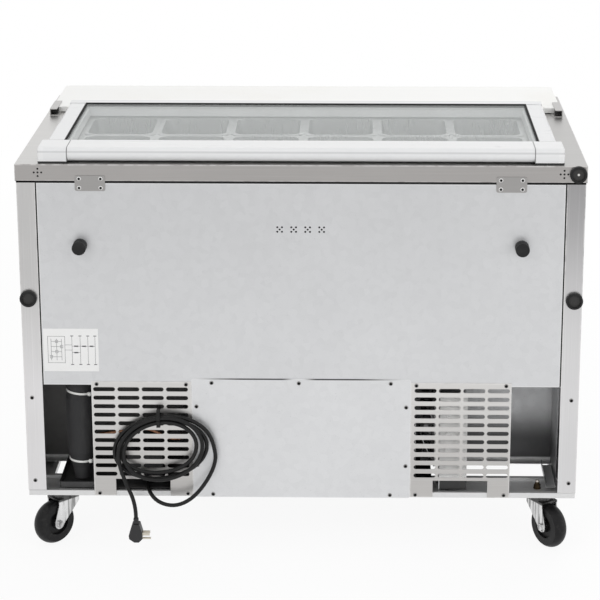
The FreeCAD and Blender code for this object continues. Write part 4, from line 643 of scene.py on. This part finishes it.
def bumper_rubber():
    """Black pads with a greyer sunk face, one of them with a bright screw in the middle."""
    pad = Finish("bumper_rubber", soft_black, 0.5, Specular_IOR_Level=0.3)
    grains = pad.noise(1400.0)
    sunk = pad.x.size().rise(*corner_pads_from) * pad.y.rise(*pad_face)
    pad.tint(sunk * 0.8, (0.042, 0.041, 0.04))
    pad.tint(pad.noise(40.0, 3.0).rise(0.5, 0.75) * 0.3, (0.035, 0.035, 0.035))
    across, up = pad.x - pad_screw_x, pad.z - pad_screw_z
    screw = (across * across + up * up).rise(*pad_screw_square)
    pad.tint(screw, (0.66, 0.65, 0.63))
    pad.metal(screw)
    pad.rough(grains * 0.15 - screw * 0.2 - 0.05)
    pad.relief(grains, 0.00006)
    return pad.done()


dress(bumper_rubber(), "rear_bumpers")


def tyre_rubber():
    """Black wheels: fine grain, scuffed grey in patches."""
    tyre = Finish("tyre_rubber", soft_black, 0.44, Specular_IOR_Level=0.22)
    grains = tyre.noise(900.0)
    scuffs = tyre.noise(90.0, 4.0, 0.65).rise(0.48, 0.75)
    tyre.tint(scuffs * 0.45, (0.045, 0.044, 0.042))
    tyre.rough(grains * 0.16 + scuffs * 0.14 - 0.1)
    tyre.relief(grains, 0.00008)
    tyre.relief(scuffs, 0.00012)
    return tyre.done()


dress(tyre_rubber(), *(caster + "_wheel" for caster in casters))


def black_enamel():
    """Black enamel on steel: slight orange peel, dust in patches."""
    paint = Finish("tray_enamel", (0.02, 0.02, 0.021), 0.36, Coat_Weight=0.2)
    peel = paint.noise(260.0)
    dust = paint.noise(22.0, 4.0).rise(0.46, 0.74)
    paint.tint(dust * 0.4, (0.10, 0.098, 0.095))
    paint.rough(dust * 0.3 + peel * 0.08 - 0.05)
    paint.relief(peel, 0.00005)
    return paint.done()


dress(black_enamel(), "compressor_tray", "compressor", "fan_motors")


def foam_wrap():
    """Black closed-cell pipe wrap with pores, creases and a greyed bloom."""
    wrap = Finish("foam_wrap", (0.016, 0.016, 0.017), 0.7)
    pores = wrap.cells(520.0)
    creases = wrap.noise((40.0, 40.0, 9.0), 4.0, 0.6)
    wrap.tint(creases.rise(0.45, 0.75) * 0.45, (0.055, 0.054, 0.053))
    wrap.rough(creases * 0.2 - 0.1)
    wrap.relief(pores, 0.0003)
    wrap.relief(creases, 0.0015)
    return wrap.done()


dress(foam_wrap(), "insulated_pipe")

foam_rear_shade = (0.34, 0.345)


def slab_foam():
    """Yellowed foam with open pores, black near the rear face as painted shade behind the vent holes and
    seams.
    """
    foam = Finish("slab_foam", (0.80, 0.72, 0.50), 0.85)
    pores = foam.cells(380.0)
    foam.tint(foam.noise(12.0, 3.0) * 0.5, (0.66, 0.56, 0.34))
    # Painted shade: black near the rear face
    foam.tint(foam.y.rise(*foam_rear_shade), (0.012, 0.012, 0.012))
    foam.relief(pores, 0.0006)
    return foam.done()


dress(slab_foam(), "insulation_slabs")

condenser_plate = 0.3424
plate_blur = 0.0004
plate_shadow = (0.168, 0.165)


def fin_stack(name, pitch_axis, plate_from=None):
    """Thin aluminium fins: fine parallel lines with dust between them; a pale end plate where asked."""
    fins = Finish(name, (0.62, 0.63, 0.64), 0.38, 1.0)
    lines = fins.node("ShaderNodeTexWave", {"wave_type": "BANDS", "bands_direction": pitch_axis},
                      {"Vector": fins.place, "Scale": 160.0}, "Fac")
    dust = fins.noise(30.0, 4.0).rise(0.45, 0.75)
    fins.tint((1 - lines) * 0.5, (0.30, 0.30, 0.30))
    fins.tint(dust * 0.3, (0.36, 0.35, 0.33))
    if plate_from:
        plate = fins.y.rise(plate_from - plate_blur, plate_from)
        fins.tint(plate, (0.86, 0.86, 0.85))
        fins.tint(plate * fins.z.rise(*plate_shadow), (0.02, 0.02, 0.02))
        fins.metal(1 - plate)
        lines = lines * (1 - plate)
    fins.relief(lines, 0.0002)
    return fins.done()


dress(fin_stack("condenser_fins", "Y", condenser_plate), "condenser_coil")
dress(fin_stack("evaporator_fins", "X"), "evaporator_coil")


def copper_pipe():
    """Drawn copper with brown tarnish."""
    copper = Finish("copper_pipe", (0.70, 0.36, 0.22), 0.28, 1.0)
    tarnish = copper.noise(40.0, 4.0, 0.6)
    copper.tint(tarnish.rise(0.4, 0.72) * 0.7, (0.34, 0.16, 0.09))
    copper.rough(tarnish * 0.3 - 0.05)
    copper.relief(tarnish, 0.0001)
    return copper.done()


dress(copper_pipe(), "refrigerant_lines")


def fan_metal():
    """Pressed aluminium blades, dulled in clouds."""
    blade = Finish("fan_metal", (0.66, 0.66, 0.67), 0.34, 1.0)
    clouds = blade.noise(40.0, 3.0)
    blade.tint(clouds.rise(0.45, 0.75) * 0.4, (0.42, 0.42, 0.42))
    blade.rough(clouds * 0.2)
    blade.relief(clouds, 0.00008)
    return blade.done()


dress(fan_metal(), "condenser_fan")


def shelf_coating():
    """Dipped coating on wire: pale, slightly lumpy, greyed by use."""
    coat = Finish("shelf_coating", (0.80, 0.80, 0.78), 0.34, Coat_Weight=0.3)
    lumps = coat.noise(160.0, 3.0)
    coat.tint(lumps.rise(0.45, 0.75) * 0.35, (0.66, 0.66, 0.64))
    coat.rough(lumps * 0.15)
    coat.relief(lumps, 0.0002)
    return coat.done()


dress(shelf_coating(), "wire_shelves")

lining_inner, lining_outer = (0.0360, 0.0365), (0.5680, 0.5675)
lining_low, lining_high = (0.2010, 0.2015), (0.7620, 0.7615)
gasket_from = (-0.2902, -0.2898)
cup_from = (-0.3145, -0.3150)


def door_lining(name):
    """Pale moulded lining, dark gasket where it meets the frame, grey cup behind the handle opening."""
    lining = Finish(name, (0.80, 0.80, 0.79), 0.36)
    flow = lining.noise(7.0, 3.0)
    grains = lining.noise(900.0)
    across = lining.x.size()
    inside = (across.rise(*lining_inner) * across.rise(*lining_outer)
              * lining.z.rise(*lining_low) * lining.z.rise(*lining_high))
    gasket = lining.y.rise(*gasket_from) * (1 - inside)
    lining.tint(flow.rise(0.4, 0.7) * 0.3, (0.74, 0.74, 0.72))
    lining.tint(gasket, (0.10, 0.10, 0.105))
    lining.tint(lining.y.rise(*cup_from), (0.30, 0.30, 0.30))
    lining.rough(grains * 0.1 + gasket * 0.2)
    lining.relief(grains, 0.00004)
    return lining.done()


for side in sides:
    core = "door_" + side + "_core"
    dress(door_lining(core + "_lining"), core)

window_right, window_left = (0.004, 0.003), (-0.031, -0.030)
window_low, window_high = (0.8195, 0.8205), (0.8375, 0.8365)


def controller_plastic():
    """Black bezel with a smoked display window."""
    bezel = Finish("controller_plastic", (0.022, 0.022, 0.024), 0.42)
    spark = bezel.noise(1200.0)
    window = (bezel.x.rise(*window_right) * bezel.x.rise(*window_left)
              * bezel.z.rise(*window_low) * bezel.z.rise(*window_high))
    bezel.tint(window, (0.035, 0.008, 0.008))
    bezel.rough(spark * 0.12 - window * 0.3)
    bezel.relief(spark * (1 - window), 0.00004)
    return bezel.done()


dress(controller_plastic(), "controller")
dress(moulded("button_plastic", (0.28, 0.29, 0.30)), "button_set", "button_up", "button_down")

blades_across = (0.3505, 0.3495)
blades_below = (0.0665, 0.0655)


def plug_plastic():
    """Black moulded plug with plated blades."""
    plug = Finish("plug_plastic", (0.014, 0.014, 0.015), 0.4)
    spark = plug.noise(900.0)
    blades = plug.x.rise(*blades_across) * plug.z.rise(*blades_below)
    plug.tint(blades, (0.62, 0.58, 0.50))
    plug.metal(blades)
    plug.rough(spark * 0.12 - blades * 0.1)
    plug.relief(spark, 0.00005)
    return plug.done()


dress(plug_plastic(), "cord_plug")

# Trim that the scene adds


def linked(name, mesh, material, body):
    """Puts a new piece in the scene, on its body."""
    made = bpy.data.objects.new(name, mesh)
    scene.collection.objects.link(made)
    made.data.materials.append(material)
    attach(made, body)
    return made


def mesh_of(name, shape, smooth=True):
    """Turns a worked shape into a mesh."""
    mesh = bpy.data.meshes.new(name)
    shape.normal_update()
    shape.to_mesh(mesh)
    shape.free()
    if smooth:
        for face in mesh.polygons:
            face.use_smooth = True
    return mesh


def add_block(shape, low, high, round_off=0.0):
    """Adds a block, its edges rounded where asked."""
    made = bmesh.ops.create_cube(shape, size=1.0)["verts"]
    size = [b - a for a, b in zip(low, high)]
    middle = [(a + b) / 2 for a, b in zip(low, high)]
    bmesh.ops.scale(shape, vec=size, verts=made)
    bmesh.ops.translate(shape, vec=middle, verts=made)
    if round_off:
        edges = list({edge for vert in made for edge in vert.link_edges})
        bmesh.ops.bevel(shape, geom=edges, offset=round_off, segments=2, affect="EDGES")


def add_band(shape, ring, half_width, thickness, across):
    """Adds a closed strap that follows a ring of points, each with its outward direction."""
    rows = []
    for point, outward in ring:
        corners = []
        for end, lift in ((-1, 0), (1, 0), (1, 1), (-1, 1)):
            corner = point + across * (end * half_width) + outward * (lift * thickness)
            corners.append(shape.verts.new(corner))
        rows.append(corners)
    for here, after in zip(rows, rows[1:] + rows[:1]):
        for k in range(4):
            shape.faces.new((here[k], after[k], after[(k + 1) % 4], here[(k + 1) % 4]))


power_cord.data.materials.append(cord_sheath)
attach(power_cord, "cabinet")
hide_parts("cord_lead", "cord_coil", "cord_tail")

strap_thickness = 0.0012
lock_round = 0.0008
tie_x = 0.312
tie_low_y, tie_high_y = 0.3555, 0.3916
tie_low_z, tie_high_z = 0.3046, 0.3400
tie_half_width = 0.004
tie_corner = 0.003
tie_corner_steps = 4
tie_lock_low = (0.3075, 0.3919, 0.311)
tie_lock_high = (0.3165, 0.3959, 0.319)


def coil_tie():
    """Strap round the top of the loops, passed through two slots of the grille."""
    shape = bmesh.new()
    ring = []
    for y, z, start in ((tie_high_y - tie_corner, tie_high_z - tie_corner, 0),
                        (tie_low_y + tie_corner, tie_high_z - tie_corner, 90),
                        (tie_low_y + tie_corner, tie_low_z + tie_corner, 180),
                        (tie_high_y - tie_corner, tie_low_z + tie_corner, 270)):
        middle = Vector((tie_x, y, z))
        for step in range(tie_corner_steps + 1):
            turn = math.radians(start + step * 90 / tie_corner_steps)
            outward = Vector((0, math.cos(turn), math.sin(turn)))
            ring.append((middle + outward * tie_corner, outward))
    add_band(shape, ring, tie_half_width, strap_thickness, Vector((1, 0, 0)))
    add_block(shape, tie_lock_low, tie_lock_high, lock_round)
    bmesh.ops.recalc_face_normals(shape, faces=shape.faces)
    return linked("coil_tie", mesh_of("coil_tie", shape), cord_sheath, "cabinet")


tie_piece = coil_tie()


def nylon():
    """White nylon strap with fine teeth."""
    strap = Finish("nylon", (0.82, 0.82, 0.80), 0.4)
    teeth = strap.noise(800.0)
    strap.tint(teeth.rise(0.4, 0.7) * 0.3, (0.70, 0.70, 0.67))
    strap.rough(teeth * 0.1)
    strap.relief(teeth, 0.00006)
    return strap.done()


riser_center = Vector((0.492, 0.312, 0.0))
riser_straps = ((0.363, 0.0289, -0.12), (0.202, 0.0264, -0.05))
riser_half_width = 0.0024
riser_steps = 40
lock_across, lock_rear = 0.80, 0.66
lock_low = Vector((-0.0045, -0.0005, -0.0042))
lock_high = Vector((0.0035, 0.0045, 0.0042))


def riser_ties():
    """Two straps drawn tight round the wrapped riser, each with its square lock."""
    shape = bmesh.new()
    for height, radius, lean in riser_straps:
        ring = []
        for step in range(riser_steps):
            turn = 2 * math.pi * step / riser_steps
            outward = Vector((math.cos(turn), math.sin(turn), 0))
            sag = -lean * radius * outward.x
            ring.append((riser_center + outward * radius + Vector((0, 0, height + sag)), outward))
        add_band(shape, ring, riser_half_width, strap_thickness, Vector((0, 0, 1)))
        lock = riser_center + Vector((-radius * lock_across, radius * lock_rear,
                                      height + lean * radius * lock_across))
        add_block(shape, lock + lock_low, lock + lock_high, lock_round)
    bmesh.ops.recalc_face_normals(shape, faces=shape.faces)
    return linked("riser_ties", mesh_of("riser_ties", shape), nylon(), "cabinet")


riser_ties()

bolt_place = Vector((-0.527, 0.306, 0.1315))
bolt_top = bolt_place.z + 0.021
bolt_rubbed = (bolt_top - 0.006, bolt_top - 0.003)
bolt_steps = 48
# Radius, height and number of sides of each ring, from the washer up
bolt_rings = ((0.0085, 0.0, 32), (0.0085, 0.0018, 32), (0.0076, 0.0018, 6), (0.0076, 0.0098, 6),
              (0.0052, 0.0098, 32), (0.0052, 0.0160, 32), (0.0044, 0.0188, 32), (0.0026, 0.0204, 32))


def aged_brass():
    """Browned brass, bright where the crown has been rubbed."""
    brass = Finish("aged_brass", (0.12, 0.088, 0.052), 0.38, 1.0)
    stain = brass.noise(260.0, 3.0)
    brass.tint(stain.rise(0.4, 0.7) * 0.5, (0.05, 0.036, 0.022))
    brass.tint(brass.z.rise(*bolt_rubbed), (0.80, 0.76, 0.70))
    brass.rough(stain * 0.2 - 0.05)
    brass.relief(stain, 0.0001)
    return brass.done()


def rail_bolt():
    """Washer, hexagon nut and crowned bolt end standing in the rail."""
    shape = bmesh.new()
    rings = []
    for radius, height, corners in bolt_rings:
        ring = []
        half = math.pi / corners
        for step in range(bolt_steps):
            turn = 2 * math.pi * step / bolt_steps
            reach = radius * math.cos(half) / math.cos(turn % (2 * half) - half)
            offset = Vector((math.cos(turn) * reach, math.sin(turn) * reach, height))
            ring.append(shape.verts.new(bolt_place + offset))
        rings.append(ring)
    for low, high in zip(rings, rings[1:]):
        for k in range(bolt_steps):
            after = (k + 1) % bolt_steps
            shape.faces.new((low[k], low[after], high[after], high[k]))
    crown = shape.verts.new((bolt_place.x, bolt_place.y, bolt_top))
    for k in range(bolt_steps):
        shape.faces.new((rings[-1][k], rings[-1][(k + 1) % bolt_steps], crown))
    shape.faces.new(list(reversed(rings[0])))
    bmesh.ops.recalc_face_normals(shape, faces=shape.faces)
    return linked("rail_bolt", mesh_of("rail_bolt", shape, False), aged_brass(), "cabinet")


rail_bolt()


def label_paper():
    """Smooth white paper with faint fibres."""
    paper = Finish("label_paper", (0.84, 0.84, 0.835), 0.5)
    fibre = paper.noise(600.0, 3.0)
    paper.tint(fibre.rise(0.4, 0.7) * 0.25, (0.76, 0.76, 0.75))
    paper.rough(fibre * 0.12)
    paper.relief(fibre, 0.00003)
    return paper.done()


def label_ink():
    """Dark grey ink, faded in places."""
    ink = Finish("label_ink", (0.10, 0.10, 0.11), 0.55)
    faded = ink.noise(300.0, 3.0).rise(0.4, 0.7)
    ink.tint(faded * 0.6, (0.24, 0.24, 0.25))
    ink.rough(faded * 0.1)
    return ink.done()


label_left, label_right = 0.5615, 0.4415
label_low, label_high = 0.423, 0.521
label_face = rear_plane + 0.0003
label_round = 0.0001
ink_thickness = 0.00008
line_width = 0.0007
bar_width = 0.0018
part_width = 0.003
bar_reach = 0.02
box_half_u, box_half_v = 0.022, 0.03

# The drawing, in shares of the label's width from its left and of its height from below
circuit_frame = (0.08, 0.20, 0.39, 0.82)
circuit_rows = (0.34, 0.46, 0.58, 0.70)
circuit_columns = (0.14, 0.24, 0.33)
column_low, column_high = 0.26, 0.76
circuit_boxes = ((0.14, 0.34), (0.24, 0.46), (0.33, 0.58), (0.24, 0.70))
feed_columns = (0.52, 0.67, 0.81, 0.94)
feed_low, feed_high = 0.16, 0.83
feed_parts = ((0.52, 0.67, 0.59), (0.67, 0.81, 0.59), (0.81, 0.94, 0.59), (0.52, 0.67, 0.44))
link_rows = (0.62, 0.50)


def wiring_label():
    """Plain stuck-on sheet with a drawn circuit of lines and boxes."""
    shape = bmesh.new()
    add_block(shape, (label_right, rear_plane, label_low), (label_left, label_face, label_high), label_round)
    linked("wiring_label", mesh_of("wiring_label", shape, False), label_paper(), "cabinet")
    lines = bmesh.new()

    def stroke(u0, v0, u1, v1, width=line_width):
        x0 = label_left + (label_right - label_left) * u0
        x1 = label_left + (label_right - label_left) * u1
        z0 = label_low + (label_high - label_low) * v0
        z1 = label_low + (label_high - label_low) * v1
        add_block(lines, (min(x0, x1) - width / 2, label_face, min(z0, z1) - width / 2),
                  (max(x0, x1) + width / 2, label_face + ink_thickness, max(z0, z1) + width / 2))

    def outline(u0, v0, u1, v1):
        stroke(u0, v0, u1, v0)
        stroke(u0, v1, u1, v1)
        stroke(u0, v0, u0, v1)
        stroke(u1, v0, u1, v1)

    outline(*circuit_frame)
    for v in circuit_rows:
        stroke(circuit_columns[0], v, circuit_columns[-1], v)
    for u in circuit_columns:
        stroke(u, column_low, u, column_high)
    for u, v in circuit_boxes:
        outline(u - box_half_u, v - box_half_v, u + box_half_u, v + box_half_v)
    for u in feed_columns:
        stroke(u, feed_low, u, feed_high)
        stroke(u - bar_reach, feed_high, u + bar_reach, feed_high, bar_width)
        stroke(u - bar_reach, feed_low, u + bar_reach, feed_low, bar_width)
    for u0, u1, v in feed_parts:
        stroke(u0, v, u1, v)
        stroke((u0 * 2 + u1) / 3, v, (u0 + u1 * 2) / 3, v, part_width)
    for v in link_rows:
        stroke(circuit_frame[2], v, feed_columns[0], v)
    return linked("wiring_label_lines", mesh_of("wiring_label_lines", lines, False), label_ink(), "cabinet")


wiring_label()

# Floor, light and surroundings

center = (cad_low + cad_high) / 2
floor_reach = 40.0
floor_white = 0.91
floor_fade = (1.4, 3.6)
pure_white = (1, 1, 1, 1)
world_light = 0.55


def white_studio_floor():
    """Pale floor that shows as white, takes the shadow of the table and is pure white further off."""
    paint = Finish("studio_floor", (0.88, 0.88, 0.88), 0.9, Specular_IOR_Level=0.1)
    glow = paint.node("ShaderNodeEmission", inputs={"Strength": 1.0})
    far = ((paint.x * paint.x + paint.y * paint.y) ** 0.5).rise(*floor_fade)
    share = far * (1 - floor_white) + floor_white
    paint.show_white(paint.surface.outputs[0], glow, "Material Output", share)
    return paint.done()


floor_mesh = bpy.data.meshes.new("studio_floor")
floor_corners = [(x * floor_reach, y * floor_reach, 0) for x, y in ((-1, -1), (1, -1), (1, 1), (-1, 1))]
floor_mesh.from_pydata(floor_corners, [], [(0, 1, 2, 3)])
studio_floor = bpy.data.objects.new("studio_floor", floor_mesh)
scene.collection.objects.link(studio_floor)
studio_floor.data.materials.append(white_studio_floor())


def softbox(name, place, size, power):
    """A soft lamp turned to the table, unseen itself."""
    lamp_data = bpy.data.lights.new(name, "AREA")
    lamp_data.shape = "RECTANGLE"
    lamp_data.size, lamp_data.size_y = size
    lamp_data.energy = power
    lamp = bpy.data.objects.new(name, lamp_data)
    lamp.location = place
    lamp.rotation_euler = (center - Vector(place)).to_track_quat("-Z", "Y").to_euler()
    lamp.visible_camera = False
    lamp.visible_glossy = False
    scene.collection.objects.link(lamp)


softbox("top_softbox", (0.0, 0.3, 3.4), (3.2, 2.4), 17)
softbox("rear_key", (1.9, 3.2, 2.6), (2.2, 1.8), 36)
softbox("rear_fill", (-2.4, 2.8, 1.6), (2.0, 2.0), 32)
softbox("front_fill", (-1.4, -3.2, 2.4), (2.4, 2.0), 60)


def studio_world():
    """White where it is seen or mirrored, a softer grey as light."""
    world = bpy.data.worlds.new("studio_world")
    world.use_nodes = True
    maker = NodeMaker(world.node_tree)
    light = world.node_tree.nodes["Background"]
    maker.feed(light.inputs["Color"], pure_white)
    maker.feed(light.inputs["Strength"], world_light)
    white = maker.node("ShaderNodeBackground", inputs={"Color": pure_white, "Strength": 1.0})
    maker.show_white(light.outputs[0], white, "World Output")
    scene.world = world


studio_world()
scene.view_settings.view_transform = "Standard"
